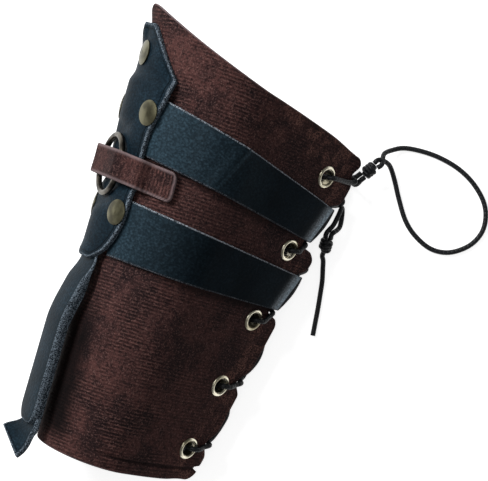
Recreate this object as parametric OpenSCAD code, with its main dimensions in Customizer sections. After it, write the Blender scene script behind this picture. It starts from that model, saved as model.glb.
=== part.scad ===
// Laced leather arm guard lying on its far side. The arm runs along X from the
// wrist to the elbow, the black guard faces +Y and the lacing faces -Y.
// Leather pieces are placed by three numbers: x along the arm, d the distance
// around the cuff from the middle line of the guard, and h the height above
// the outer face of the cuff.

/* [Forearm] */
// Outer radius of the rounded back at the wrist
wrist_radius = 27.6; // [25:0.2:31]
// Outer radius of the rounded back at the elbow
elbow_radius = 40.5; // [37:0.5:44]
// Slope of the two flat sides towards the lacing, in degrees
side_angle = 23; // [22:0.5:24]
// Sideways lean of the middle of the cuff from wrist to elbow
lean = 10.5; // [6:0.5:15]

/* [Cuff] */
// Length of the cuff along the arm, without its tongue
cuff_length = 203.5; // [195:0.5:225]
// Thickness of the suede
cuff_t = 2.5; // [1.8:0.1:3]
// Gap between the two laced edges
lacing_gap = 12.5; // [11:0.5:16]
// Height of the pointed tongue above the elbow edge
tongue_rise = 18.5; // [8:0.5:26]
// How far the elbow edge falls back beside the lacing
elbow_fall = 9.8; // [4:0.2:14]
// How far the wrist edge rises beside the lacing
wrist_rise = 6; // [2:0.5:10]
// Radius of the four cut corners
corner_radius = 7; // [4:0.5:9]

/* [Eyelets] */
// Distance of the first eyelet from the wrist edge
eyelet_first = 23.8; // [20:0.2:28]
// Distance of the last eyelet from the elbow edge
eyelet_last = 26.3; // [24:0.2:30]
// Distance of the first eyelet from the laced edge
eyelet_inset = 15.5; // [13:0.5:18]
// Extra distance that each further eyelet keeps from the laced edge
inset_step = 1.6; // [0:0.1:2]
// Outer diameter of an eyelet
eyelet_d = 11.7; // [10.6:0.1:12.6]
// Inner diameter of an eyelet
eyelet_hole = 7.8; // [7:0.1:8.4]
// Height of the rolled rim
rim_t = 1; // [0.6:0.1:1.2]

/* [Black straps] */
// Thickness of the black straps
strap_t = 2.2; // [1.6:0.1:2.6]
// Width of the straps at the guard
strap_w = 29.5; // [26:0.5:31]
// Width of the straps at the lacing
strap_end_w = 20.5; // [17:0.5:22]
// How far the upper straps climb towards the elbow
upper_climb = 11.6; // [8:0.2:14]
// Distance of the fold of the lower straps from the laced edge
lower_inset = 5.7; // [3.6:0.1:6]
// Distance of the fold of the upper straps from the laced edge
upper_inset = 8.7; // [7:0.1:9.4]

/* [Guard] */
// Thickness of the moulded cover
cover_t = 2.5; // [2:0.1:3]
// Half width of the cover over the lower straps
cover_half = 22; // [20:0.5:24]
// Extra half width at the shoulder of the cover
cover_shoulder = 5.7; // [2:0.2:8]
// Half width of the blunt top of the cover
cover_top_half = 4.5; // [3:0.5:6]
// Half width of the long plate
plate_half = 12; // [10:0.5:13]
// Thickness of the long plate
plate_t = 4; // [3:0.1:5]
// Height at which the plate stands off the cuff
stand_off = 6.8; // [5.6:0.1:8]
// Half width of the strip that ends in the tab
strip_half = 11; // [8:0.5:12]
// Thickness of the strip
strip_t = 2.8; // [2:0.1:3]

/* [Rivets] */
// Diameter of the rivet caps
cap_d = 12.5; // [10:0.1:13]
// Height of the rivet caps
cap_h = 1.4; // [1:0.1:2.2]
// Diameter of the rivet sockets
socket_d = 4.4; // [4:0.1:5]
// Diameter of the rivet posts
post_d = 3; // [2.4:0.1:3.2]

/* [Ring and keeper] */
// Outer diameter of the ring
ring_d = 32; // [28:0.5:33]
// Diameter of the ring wire
ring_wire = 3; // [2.6:0.1:3.4]
// Width of the keeper strap
keeper_w = 14.5; // [12:0.5:15]
// Thickness of the keeper strap
keeper_t = 2.3; // [1.8:0.1:3]
// Reach of the keeper strap to each side of the middle line
keeper_reach = 40.5; // [36:0.5:44]

/* [Lace] */
// Diameter of the lace
lace_d = 2.6; // [2:0.1:2.8]
// Diameter of the knots
knot_d = 7; // [6:0.1:8]
// Length of the knots
knot_l = 8.4; // [7:0.1:9.5]

/* [Hidden] */
$fn = 48;

// Clearance between pieces of leather that lie on each other
seat = 0.3;
// Clearance of the straps on the cuff
strap_seat = 0.45;
// Clearance of a pin in its hole
pin_clear = 0.2;
// Middle of the footprint, which is moved to the origin
origin_x = 105.1;
origin_y = -1;
// Number of eyelets on each side
eyelet_count = 5;
eyelet_pitch = (cuff_length - eyelet_first - eyelet_last)/(eyelet_count - 1);
// The middle eyelets are set a little nearer to the wrist
eyelet_bow = 3.9;
lace_r = lace_d/2;
roll = side_angle;

// Suede around the eyelets is drawn in by the lace, more so on the side it lies on
lift_near = 1.4;
lift_far = 3;
lift_run = 36;
// Hollow pressed into the cuff by the upper end of the plate
dent_depth = 3;
dent_width = 13.5;
// Waist pressed into the cuff and the cover by the keeper strap
waist_depth = 1.3;
waist_run = 18;
waist_width = 40;
// Outward flare of the tongue
flare_height = 6;

// Slots of a strap record: x and width at the guard, x and width at the lacing, reach
GUARD_X = 0;
GUARD_W = 1;
LACE_X = 2;
LACE_W = 3;
REACH = 4;
strap_slant = 0.5;
strap_inner = 13.4;
// The straps are pared to a thin end under the cover
strap_pared = 0.9;
pared_run = 14;
lower_lace_x = (eyelet_x(2) + eyelet_x(3))/2 - 0.8;
upper_lace_x = (eyelet_x(3) + eyelet_x(4))/2 - 2.8;
LOWER = [lower_lace_x - 1.7, strap_w, lower_lace_x, strap_end_w,
         half_girth(lower_lace_x) - lower_inset];
UPPER = [upper_lace_x + upper_climb, strap_w, upper_lace_x, strap_end_w,
         half_girth(upper_lace_x) - upper_inset];
// Inside radius, skived thickness and middle height of the fold that holds the lace
fold_r = lace_r + 0.35;
fold_t = 1.5;
fold_h = strap_seat - fold_r;
fold_flap = 6;

rivet_lower_x = LOWER[GUARD_X] + 6.6;
rivet_upper_x = UPPER[GUARD_X] + 4.5;
rivet_lower_d = 16.8;
rivet_upper_d = 19.5;
cover_from = LOWER[GUARD_X] - strap_w/2 - 5.6;
cover_to = UPPER[GUARD_X] + 46;
rivet_top_x = cover_to - 14.5;
keeper_x = (LOWER[GUARD_X] + UPPER[GUARD_X])/2 + 1.6;
plate_from = 8;
plate_to = cover_from + 10;
plate_drop = stand_off + 2.1;
plate_skived = 1.9;

function smooth(t) = let(c = min(1, max(0, t))) c*c*(3 - 2*c);
function mix(a, b, t) = a + (b - a)*t;
function unit(v) = v/norm(v);

// Section of the cuff: a round back with two flat sides that close towards the lacing
function radius(x) = wrist_radius + (elbow_radius - wrist_radius)*x/cuff_length;
function arc_half(x) = radius(x)*(90 + side_angle)*PI/180;
function half_girth(x) = arc_half(x) + (radius(x)*cos(side_angle) - lacing_gap/2)/sin(side_angle);
function frame_point(p) = [p[0] - origin_x, p[1] - origin_y, p[2]];
function flat_point(x, u, v) = frame_point([
    x,
    8.4 + lean*x/cuff_length + u*cos(roll) - v*sin(roll),
    radius(x) + strap_t + strap_seat + u*sin(roll) + v*cos(roll)]);
function section_point(x, d, h) =
    abs(d) <= arc_half(x)
    ? let(a = d/radius(x)*180/PI) flat_point(x, (radius(x) + h)*cos(a), (radius(x) + h)*sin(a))
    : let(s = sign(d), m = abs(d) - arc_half(x))
      flat_point(x, -(radius(x) + h)*sin(side_angle) - m*cos(side_angle),
                 s*((radius(x) + h)*cos(side_angle) - m*sin(side_angle)));
function edge_lift(x, d) =
    (d > 0 ? lift_near : lift_far)*smooth((abs(d) - half_girth(x) + lift_run)/lift_run);
function dent(x, d) =
    dent_depth*exp(-pow(d/dent_width, 2))*smooth((x - plate_to + 44)/25)*(1 - smooth((x - plate_to)/17));
function flare(x, d) = flare_height*pow(max(0, (x - cuff_length + 3)/22), 2)*exp(-pow(d/30, 2));
function waist(x, d) = waist_depth*exp(-pow((x - keeper_x)/waist_run, 2) - pow(d/waist_width, 2));
function skin(x, d) = flare(x, d) - edge_lift(x, d) - dent(x, d) - waist(x, d);
function leather_point(x, d, h) = section_point(x, d, h + skin(x, d));

// Outline of the cuff
function wrist_edge(q) = 1.2 + wrist_rise*q*q;
function elbow_edge(q) =
    cuff_length - elbow_fall*q*q + tongue_rise*pow(max(0, 1 - sqrt(q*q + 0.0004)/0.48), 1.6);
function notch(x, c, w, depth) = depth*(1 - smooth(abs(x - c)/w));
function fold_d(s, x) = s[REACH] + strap_slant*(x - s[LACE_X]);
function corner_cut(t) = t >= corner_radius ? 0
    : corner_radius*(1 - sqrt(max(0, 1 - pow(1 - max(0, t)/corner_radius, 2))));
function laced_edge(x) =
    half_girth(x) - notch(x, eyelet_x(0) + 4.7, 8, 4.5) - notch(x, eyelet_x(1) + 4.7, 8, 6)
                  - notch(x, eyelet_x(4) + 7, 7, 3.5);
function cut_edge(x) =
    laced_edge(x) - corner_cut(x - wrist_edge(1)) - corner_cut(elbow_edge(1) - x);

function eyelet_x(i) = eyelet_first + i*eyelet_pitch - eyelet_bow*sin(180*i/(eyelet_count - 1));
function eyelet_out(i) = half_girth(eyelet_x(i)) - eyelet_inset - i*inset_step;

// Half width of the cover, with a round foot, a shoulder and a tapered blunt top
function cover_width(x) =
    let(t = min(1, (x - cover_from)/30),
        body = cover_half*sqrt(1 - pow(1 - t, 2))
             + cover_shoulder*smooth((x - UPPER[GUARD_X] + 10)/30))
    min(body, cover_top_half + (cover_to - x)*1.02);
function over_strap(s, x) = 1 - smooth((abs(x - s[GUARD_X]) - s[GUARD_W]/2 - 1.8)/7);
function strap_thick(d) = mix(strap_pared, strap_t, smooth((abs(d) - strap_inner)/pared_run));
function cover_under(x, d) =
    flare(x, d) - waist(x, d) + seat
    + (strap_thick(d) + strap_seat + 0.25)*max(over_strap(LOWER, x), over_strap(UPPER, x))*smooth((abs(d) - 5)/8);

// Plate: height of its inner face above the cuff radius, its thickness and half width
function plate_rise(x) = stand_off - plate_drop*smooth((x - plate_to + 40)/31);
function plate_thick(x) = mix(plate_t, plate_skived, smooth((x - plate_to + 22)/12));
function plate_width(x) =
    plate_half*sqrt(1 - pow(1 - min(1, (x - plate_from + 1.2)/9), 2))
              *sqrt(1 - pow(1 - min(1, (plate_to - x + 1.2)/14), 2));

// Grid of two skins, joined round its border into one closed solid
module sheet(n, m, top, bottom) {
    w = m + 1;
    s = (n + 1)*w;
    points = [for (skin_at = [top, bottom]) for (i = [0:n]) for (j = [0:m]) skin_at(i, j)];
    out = cross(points[w] - points[0], points[1] - points[0])*(points[0] - points[s]) > 0;
    skins = [for (i = [0:n-1]) for (j = [0:m-1])
        let(a = i*w + j, b = a + 1, c = a + w, d = c + 1)
        each [[a, c, d], [a, d, b], [a + s, d + s, c + s], [a + s, b + s, d + s]]];
    ends = [for (j = [0:m-1])
        let(a = j, b = j + 1, c = n*w + j, d = c + 1)
        each [[a, b, b + s], [a, b + s, a + s], [d, c, c + s], [d, c + s, d + s]]];
    sides = [for (i = [0:n-1])
        let(a = i*w, c = a + w, b = a + m, d = c + m)
        each [[c, a, a + s], [c, a + s, c + s], [b, d, d + s], [b, d + s, b + s]]];
    faces = concat(skins, ends, sides);
    polyhedron(points, out ? [for (f = faces) [f[2], f[1], f[0]]] : faces, convexity = 8);
}

// Smooth curve through the points of a route, k steps to each stretch
function bend(p, k) =
    let(n = len(p) - 1)
    concat([for (i = [0:n-1]) for (j = [0:k-1])
        let(a = p[max(0, i - 1)], b = p[i], c = p[i + 1], d = p[min(n, i + 2)], t = j/k)
        0.5*(2*b + (c - a)*t + (2*a - 5*b + 4*c - d)*t*t + (3*b - 3*c + d - a)*t*t*t)],
        [p[n]]);

// Round cord swept along a list of points
module cord(path, r, sides = 8) {
    n = len(path) - 1;
    dirs = [for (i = [0:n]) unit(path[min(n, i + 1)] - path[max(0, i - 1)])];
    start = unit(cross(dirs[0], abs(dirs[0][2]) < 0.9 ? [0, 0, 1] : [0, 1, 0]));
    normals = [for (i = 0, v = start; i <= n;
                    i = i + 1, v = i <= n ? unit(v - (v*dirs[i])*dirs[i]) : v) v];
    points = [for (i = [0:n]) for (k = [0:sides-1])
        let(a = 360*k/sides) path[i] + r*(cos(a)*normals[i] + sin(a)*cross(dirs[i], normals[i]))];
    walls = [for (i = [0:n-1]) for (k = [0:sides-1])
        let(a = i*sides + k, b = i*sides + (k + 1)%sides, c = a + sides, d = b + sides)
        each [[a, c, d], [a, d, b]]];
    caps = [[for (k = [0:sides-1]) k], [for (k = [sides-1:-1:0]) n*sides + k]];
    polyhedron(points, concat(walls, caps), convexity = 10);
}

// Puts a child at p, with its Z axis square to the directions a and b
module square_to(p, a, b) {
    n = unit(cross(b, a));
    t = unit(a - (a*n)*n);
    s = cross(n, t);
    multmatrix([[t[0], s[0], n[0], p[0]], [t[1], s[1], n[1], p[1]], [t[2], s[2], n[2], p[2]], [0, 0, 0, 1]])
        children();
}

module on_leather(x, d) {
    square_to(leather_point(x, d, 0),
              leather_point(x + 0.5, d, 0) - leather_point(x - 0.5, d, 0),
              leather_point(x, d + 0.5, 0) - leather_point(x, d - 0.5, 0))
        children();
}

function cover_point(x, d, h) = section_point(x, d, cover_under(x, d) + cover_t + h);
module on_cover(x, d) {
    square_to(cover_point(x, d, 0),
              cover_point(x + 2, d, 0) - cover_point(x - 2, d, 0),
              cover_point(x, d + 2, 0) - cover_point(x, d - 2, 0))
        children();
}

module at_eyelets(side) {
    for (i = [0:eyelet_count-1]) on_leather(eyelet_x(i), side*eyelet_out(i)) children();
}

// Rivets: x and d, and the depth from the top of the cover to the inside of the cuff
RIVETS = [
    [rivet_top_x, 0],
    [rivet_upper_x, rivet_upper_d], [rivet_upper_x, -rivet_upper_d],
    [rivet_lower_x, rivet_lower_d], [rivet_lower_x, -rivet_lower_d]];
function rivet_depth(r) = cover_t + cover_under(r[0], r[1]) - skin(r[0], r[1]) + cuff_t;
disc_d = cap_d - 3.5;
// The discs clear the curved and sloping suede
disc_clear = 0.8;
function disc_depth(r) = rivet_depth(r) + pow(disc_d/2, 2)/(2*(radius(r[0]) - cuff_t)) + disc_clear;

module at_rivets() {
    for (r = RIVETS) on_cover(r[0], r[1]) {
        $depth = rivet_depth(r);
        $disc = disc_depth(r);
        children();
    }
}

module rivet_holes() {
    at_rivets() translate([0, 0, -$depth - 6]) cylinder(d = socket_d + 2*pin_clear, h = $depth + 10);
}

// Slot in the laced edge that makes room for the folded end of a strap
slot_side = 3;
module strap_slot(s, side) {
    half = s[LACE_W]/2 + slot_side;
    deep = lace_r + 0.5;
    on_leather(s[LACE_X], side*s[REACH]) translate([0, 0, -cuff_t - 2]) linear_extrude(cuff_t + 4)
        polygon([[-half, side*(deep + half*strap_slant)], [half, side*(deep - half*strap_slant)],
                 [half, -side*30], [-half, -side*30]]);
}

// Rows of the cuff, closer together where its laced edge curves
corner_rows = [0, 0.3, 1.2, 2.6, 4.6, 7];
notch_rows = [-8, -5.4, -2.7, 0, 2.7, 5.4, 8];
edge_from = wrist_edge(1);
edge_to = elbow_edge(1);
cuff_rows = concat(
    [for (r = corner_rows) edge_from + r*corner_radius/7],
    [for (r = notch_rows) eyelet_x(0) + 4.7 + r], [for (t = [1, 2]) mix(eyelet_x(0) + 12.7, eyelet_x(1) - 3.3, t/3)],
    [for (r = notch_rows) eyelet_x(1) + 4.7 + r], [for (t = [1:14]) mix(eyelet_x(1) + 12.7, eyelet_x(4), t/15)],
    [for (r = [0:2.4:8]) eyelet_x(4) + r],
    [for (r = [5:-1:0]) edge_to - corner_rows[r]*corner_radius/7]);

// Suede cuff with its eyelet and rivet holes
module cuff() {
    n = len(cuff_rows) - 1;
    m = 40;
    function at(i, j, h) =
        let(q = 2*j/m - 1, t = (cuff_rows[i] - edge_from)/(edge_to - edge_from),
            x = mix(wrist_edge(q), elbow_edge(q), t))
        leather_point(x, q*cut_edge(x), h);
    color([0.29, 0.17, 0.16]) difference() {
        sheet(n, m, function(i, j) at(i, j, 0), function(i, j) at(i, j, -cuff_t));
        for (side = [1, -1]) at_eyelets(side)
            translate([0, 0, -cuff_t - 4]) cylinder(d = eyelet_hole + 1.4, h = cuff_t + 8);
        for (side = [1, -1], s = [LOWER, UPPER]) strap_slot(s, side);
        rivet_holes();
    }
}

// Black strap from under the cover to the lacing, folded round the lace at its end
module strap(s, side) {
    run = 17;
    turn = 5;
    back = 1;
    n = run + turn + back;
    m = 2;
    function at(i, j, out) =
        let(t = min(1, i/run),
            x = mix(s[GUARD_X], s[LACE_X], t) + (j/m - 0.5)*mix(s[GUARD_W], s[LACE_W], t),
            end = fold_d(s, x),
            a = 180*min(1, max(0, i - run)/turn),
            r = fold_r + (out ? fold_t : 0),
            flap = i > run + turn ? fold_flap : 0,
            d = i <= run ? mix(strap_inner, end, t) : end + r*sin(a) - flap,
            h = i <= run ? strap_seat + (out ? strap_thick(d) : 0) : fold_h + r*cos(a))
        leather_point(x, side*d, h);
    color([0.1, 0.14, 0.17]) difference() {
        sheet(n, m, function(i, j) at(i, j, true), function(i, j) at(i, j, false));
        rivet_holes();
    }
}

module strap_lower_near() { strap(LOWER, 1); }
module strap_lower_far() { strap(LOWER, -1); }
module strap_upper_near() { strap(UPPER, 1); }
module strap_upper_far() { strap(UPPER, -1); }

// Long stiff plate over the back of the wrist, its upper end skived under the cover
module guard_plate() {
    n = 24;
    m = 6;
    crown = 0.8;
    function at(i, j, out) =
        let(x = mix(plate_from, plate_to, i/n - 0.1*sin(360*i/n)), q = 2*j/m - 1,
            top = plate_thick(x) - (1 - sqrt(1 - pow(0.6*q, 2)))*crown/0.2)
        flat_point(x, radius(x) + plate_rise(x) + (out ? top : 0), q*plate_width(x));
    color([0.14, 0.2, 0.24])
        sheet(n, m, function(i, j) at(i, j, true), function(i, j) at(i, j, false));
}

// Strip glued under the plate, its free end curled outwards as a tab
module guard_strip() {
    n_strip = 14;
    n_tab = 8;
    glue_gap = 0.25;
    root = flat_point(plate_from, radius(plate_from) + plate_rise(plate_from) - glue_gap - strip_t/2, 0);
    tip = root + [-12.5, 6.9, 0.7];
    c1 = root + [-7, 0.5, 0];
    c2 = tip + [4.5, -3.6, 0];
    w0 = [0, -sin(roll), cos(roll)];
    w1 = unit([-0.49, -0.64, 0.59]);
    function spot(t) = pow(1 - t, 3)*root + 3*t*pow(1 - t, 2)*c1 + 3*t*t*(1 - t)*c2 + pow(t, 3)*tip;
    function way(t) = unit(3*pow(1 - t, 2)*(c1 - root) + 6*t*(1 - t)*(c2 - c1) + 3*t*t*(tip - c2));
    function at(i, j, out) =
        i <= n_strip
        ? let(x = mix(plate_to - 22, plate_from, i/n_strip))
          flat_point(x, radius(x) + plate_rise(x) - glue_gap - (out ? 0 : strip_t), (j - 1)*strip_half)
        : let(t = (i - n_strip)/n_tab, w = unit(mix(w0, w1, smooth(t))), side = unit(w - (w*way(t))*way(t)),
              nrm = cross(way(t), side))
          spot(t) + (j - 1)*strip_half*side + (out ? 0.5 : -0.5)*strip_t*nrm;
    color([0.14, 0.2, 0.24])
        sheet(n_strip + n_tab, 2, function(i, j) at(i, j, true), function(i, j) at(i, j, false));
}

// Moulded leaf-shaped cover over the straps and the upper end of the plate
module guard_cover() {
    n = 30;
    m = 16;
    function at(i, j, h) =
        let(x = mix(cover_from + 0.8, cover_to, i/n - 0.1*sin(360*i/n)), d = (2*j/m - 1)*cover_width(x))
        section_point(x, d, cover_under(x, d) + h);
    color([0.14, 0.2, 0.24]) difference() {
        sheet(n, m, function(i, j) at(i, j, cover_t), function(i, j) at(i, j, 0));
        rivet_holes();
    }
}

// Steel ring that lies on the cover, under the keeper strap
ring_major = (ring_d - ring_wire)/2;
ring_lift = seat + ring_wire/2 + waist_depth*(1 - exp(-pow(ring_major/waist_run, 2)));

module ring() {
    color([0.45, 0.42, 0.33]) on_cover(keeper_x, 0) translate([0, 0, ring_lift])
        rotate_extrude($fn = 96) translate([ring_major, 0]) circle(d = ring_wire);
}

// Brown keeper strap across the ring and the cover
function keeper_under(x, d) =
    let(top = radius(x) + cover_t + 2*seat + ring_lift + ring_wire/2,
        a0 = atan((ring_d/2 - 0.5)/top),
        d0 = a0*PI/180*radius(x),
        h0 = top/cos(a0) - radius(x),
        flange = cover_t + strap_t + strap_seat + 3*seat,
        low = cover_width(x) + 1)
    abs(d) <= d0 ? top/cos(abs(d)/radius(x)*180/PI) - radius(x)
    : abs(d) <= low ? mix(h0, flange, smooth((abs(d) - d0)/7))
    : mix(flange, seat, smooth((abs(d) - low)/5.5));

module keeper_strap() {
    n = 36;
    m = 1;
    function at(i, j, h) =
        let(x = keeper_x + (j/m - 0.5)*keeper_w, d = mix(-keeper_reach, keeper_reach, i/n))
        section_point(x, d, keeper_under(x, d) - waist(x, d) + h);
    color([0.33, 0.19, 0.18])
        sheet(n, m, function(i, j) at(i, j, keeper_t), function(i, j) at(i, j, 0));
}

// Domed rivet caps, each with the socket that goes through the leather
module rivet_caps() {
    dome = (pow(cap_d/2, 2) + pow(cap_h - 0.5, 2))/(2*(cap_h - 0.5));
    color([0.55, 0.52, 0.38]) at_rivets() difference() {
        union() {
            rotate_extrude() translate([0, 0.1]) intersection() {
                translate([0, cap_h - dome]) circle(r = dome, $fn = 256);
                square([cap_d/2, cap_h + 1]);
            }
            translate([0, 0, -$depth]) cylinder(d = socket_d, h = $depth + 0.3);
        }
        translate([0, 0, -$depth - 1]) cylinder(d = post_d + 2*post_fit, h = $depth + 0.7);
    }
}

// Flat inner discs with the posts that go into the sockets
post_fit = 0.05;
disc_t = 0.9;
module rivet_posts() {
    color([0.55, 0.52, 0.38]) at_rivets() translate([0, 0, -$disc - disc_t]) {
        cylinder(d = disc_d, h = disc_t);
        cylinder(d = post_d, h = $disc + disc_t - 0.6);
    }
}

// Eyelet with a rolled rim outside and a barrel clenched over its washer inside
module eyelet() {
    hole_r = eyelet_hole/2;
    rim_r = (eyelet_d - eyelet_hole)/4;
    wall = 0.5;
    foot = cuff_t + washer_gap + 0.8;
    rotate_extrude() {
        intersection() {
            translate([hole_r + rim_r, 0.1]) circle(r = rim_r);
            translate([hole_r, 0.1]) square([2*rim_r, rim_t]);
        }
        translate([hole_r, -foot]) square([wall, foot + 0.4]);
        translate([hole_r + wall, -foot - 0.1]) circle(r = wall);
    }
}

washer_gap = 0.25;
washer_t = 0.4;
module washer() {
    translate([0, 0, -cuff_t - washer_gap - washer_t]) difference() {
        cylinder(d = eyelet_d + 0.3, h = washer_t);
        translate([0, 0, -1]) cylinder(d = eyelet_hole + 1.2, h = 3);
    }
}

module eyelets_near() { color([0.6, 0.56, 0.42]) at_eyelets(1) eyelet(); }
module eyelets_far() { color([0.6, 0.56, 0.42]) at_eyelets(-1) eyelet(); }
module washers_near() { color([0.6, 0.56, 0.42]) at_eyelets(1) washer(); }
module washers_far() { color([0.6, 0.56, 0.42]) at_eyelets(-1) washer(); }

// Lace: each strand comes up through an eyelet, goes over the cut edge and across the gap
function apex(x) = -radius(x)*sin(side_angle) - (half_girth(x) - arc_half(x))*cos(side_angle);
// Point in the mouth between the laced edges, given by its depth and its side of the middle
mouth_mid = 0.85;
function mouth(x, depth, v) = flat_point(x, apex(x) + depth, mouth_mid + v);
function rise(i, side) =
    let(x = eyelet_x(i), d = eyelet_out(i))
    [leather_point(x - 2.4, side*(d + 6), -cuff_t - 4.4),
     leather_point(x - 0.8, side*(d + 1.4), -cuff_t - 2.4),
     leather_point(x, side*(d + 0.9), -1),
     leather_point(x + 0.5, side*(d + 1.9), 1.6),
     leather_point(x + 1.2, side*(d + 5), lace_r + rim_t + 0.6)];
function over_edge(i, side) =
    let(x = eyelet_x(i), top = lace_r + 0.4)
    [leather_point(x + 2.8, side*(laced_edge(x + 2.8) - 3), top),
     leather_point(x + 4.6, side*(laced_edge(x + 4.6) + 1.1), top),
     leather_point(x + 5.6, side*(laced_edge(x + 5.6) + lace_r + 0.7), -cuff_t/2)];
// Across the gap to the other side: strand +1 passes outside strand -1
function across(from, to, side, way) =
    let(out = way > 0 ? 0 : 1)
    [mouth(from, mix(1.1, 2.4, out), side*1.9),
     mouth(mix(from, to, 0.35), mix(-0.8, 3.4, out), 0),
     mouth(mix(from, to, 0.7), mix(-0.4, 3.6, out), 0),
     mouth(to, mix(3.4, 6.4, out), -side*1)];
function into_fold(i, s, side) =
    let(from = s[LACE_X] - s[LACE_W]/2, top = lace_r + 0.4)
    [leather_point(from - slot_side - 1.6, side*(fold_d(s, from) - 4), top),
     leather_point(from - slot_side + 1, side*(fold_d(s, from) - 1.3), top - 0.4)];
function fold_run(s, side) =
    let(from = s[LACE_X] - s[LACE_W]/2, to = s[LACE_X] + s[LACE_W]/2)
    [for (t = [0, 0.33, 0.67, 1])
        let(x = mix(from - 0.3, to + 0.6, t)) leather_point(x, side*fold_d(s, x), fold_h)];
// One strand from the first eyelet of a side to the last eyelet of the same side
function strand(side) =
    let(lower_end = LOWER[LACE_X] + LOWER[LACE_W]/2 + 2.6, upper_end = UPPER[LACE_X] + UPPER[LACE_W]/2 + 2.6)
    concat(
        rise(0, side), over_edge(0, side), across(eyelet_x(0) + 8.6, eyelet_x(1) - 7, side, side),
        rise(1, -side), over_edge(1, -side), across(eyelet_x(1) + 8.6, eyelet_x(2) - 7, -side, side),
        rise(2, side), into_fold(2, LOWER, side), fold_run(LOWER, side),
        across(lower_end, eyelet_x(3) - 4, side, side),
        rise(3, -side), into_fold(3, UPPER, -side), fold_run(UPPER, -side),
        across(upper_end, eyelet_x(4) - 5, -side, side),
        rise(4, side), over_edge(4, side));
function reversed(p) = [for (i = [len(p)-1:-1:0]) p[i]];

knot_at = frame_point([190, -67, 11.5]);
knot_way = unit([0.86, -0.5, -0.1]);
knot_side = unit(cross([0, 0, 1], knot_way));
function knot_end(way, side) = knot_at + way*knot_way*(knot_l/2 + 0.02) + side*(lace_r + 0.1)*knot_side;

module lacing() {
    x0 = eyelet_x(0) - 5;
    bar = [leather_point(x0, eyelet_out(0) + 5, -9), mouth(x0 - 1.5, 9, 0), leather_point(x0, -eyelet_out(0) - 5, -9)];
    near = concat(strand(1), [knot_end(-1, 1) - 3*knot_way, knot_end(-1, 1)]);
    far = concat(strand(-1), [knot_end(-1, -1) - 6*knot_way - [0, 0, 4], knot_end(-1, -1) - 2*knot_way, knot_end(-1, -1)]);
    color([0.05, 0.06, 0.07]) cord(bend(concat(reversed(far), reversed(bar), near), 2), lace_r, 6);
}

// Knot of three turns of lace
module knot() {
    rotate_extrude() {
        translate([0, -knot_l/2]) square([knot_d/2 - 0.6, knot_l]);
        for (i = [-1:1]) translate([knot_d/2 - lace_r, i*(knot_l - lace_d)/2]) circle(r = lace_r);
    }
}

module along(at, way) {
    s = unit(cross([0, 0, 1], way));
    t = cross(way, s);
    multmatrix([[s[0], t[0], way[0], at[0]], [s[1], t[1], way[1], at[1]], [s[2], t[2], way[2], at[2]], [0, 0, 0, 1]])
        children();
}

module top_knot() { color([0.05, 0.06, 0.07]) along(knot_at, knot_way) knot(); }

low_at = frame_point([146, -61.5, 7.5]);
low_way = unit([0.85, 0.1, 0.45]);
low_side = unit(cross([0, 0, 1], low_way));
module lower_knot() { color([0.05, 0.06, 0.07]) along(low_at, low_way) knot(); }

// Short doubled end of the lace, hooked behind the strap fold above the lower knot
module lace_tie() {
    a = low_at + low_way*(knot_l/2 + 0.05) + (lace_r + 0.1)*low_side;
    b = low_at + low_way*(knot_l/2 + 0.05) - (lace_r + 0.1)*low_side;
    route = concat([a, a + 3*low_way], [for (p = TIE) frame_point(p)], [b + 3*low_way, b]);
    color([0.05, 0.06, 0.07]) cord(bend(route, 3), lace_r, 8);
}

// Routes of the loose lace, on the surface that the arm guard lies on
TIE = [[157, -61, 10.5], [163, -61.5, 9.5], [167, -61.8, 6.5], [163, -63.5, 5.5], [157, -64.5, 6.5]];
LOOP = [[201, -71, 7], [205, -74.5, 3.4], [208.5, -80, 1.6], [210.5, -89, 1.35], [211, -99, 1.35],
        [209.5, -110, 1.35], [205.5, -120, 1.35], [199, -128.5, 1.35], [191.5, -133, 1.35], [183, -134, 1.35],
        [174.5, -130.5, 1.35], [167.5, -122.5, 1.35], [165.5, -113, 1.35], [168.5, -103, 1.35],
        [174, -95, 1.35], [183, -87.5, 1.4], [190.5, -82, 2.2], [196, -77, 5], [197.5, -73.5, 8]];
TAIL = [[138, -63.6, 3.2], [134, -65.2, 1.65], [128, -67.4, 1.35], [121, -69.2, 1.35], [114, -70.9, 1.35],
        [107, -72.4, 1.35], [100, -73.9, 1.35]];

module lace_loop() {
    a = knot_end(1, -1);
    b = knot_end(1, 1);
    route = concat([a, a + 3*knot_way], [for (p = LOOP) frame_point(p)], [b + 3*knot_way, b]);
    color([0.05, 0.06, 0.07]) cord(bend(route, 3), lace_r, 8);
}

module lace_tail() {
    a = low_at - low_way*(knot_l/2 + 0.05);
    route = concat([a, a - 2.5*low_way], [for (p = TAIL) frame_point(p)]);
    color([0.05, 0.06, 0.07]) cord(bend(route, 2), lace_r, 8);
}

cuff();
strap_lower_near();
strap_lower_far();
strap_upper_near();
strap_upper_far();
guard_strip();
guard_plate();
guard_cover();
keeper_strap();
ring();
rivet_caps();
rivet_posts();
eyelets_near();
eyelets_far();
washers_near();
washers_far();
lacing();
top_knot();
lower_knot();
lace_tie();
lace_loop();
lace_tail();
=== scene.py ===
# %% [markdown]
# # A laced leather arm guard
# The real object is a cuff of brown suede with a leaf-shaped black guard on its back, two pairs of
# black straps and a long round lace. It lies on its side, seen from straight above.
# The solid model fixes every place and size, and this lesson dresses it: leather shells, a real
# lace with knots, and finishes for suede, grain leather, brass and steel.

# %% Load the frame
import math

import bmesh
import bpy
import numpy as np
from mathutils import Matrix, Vector


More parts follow.
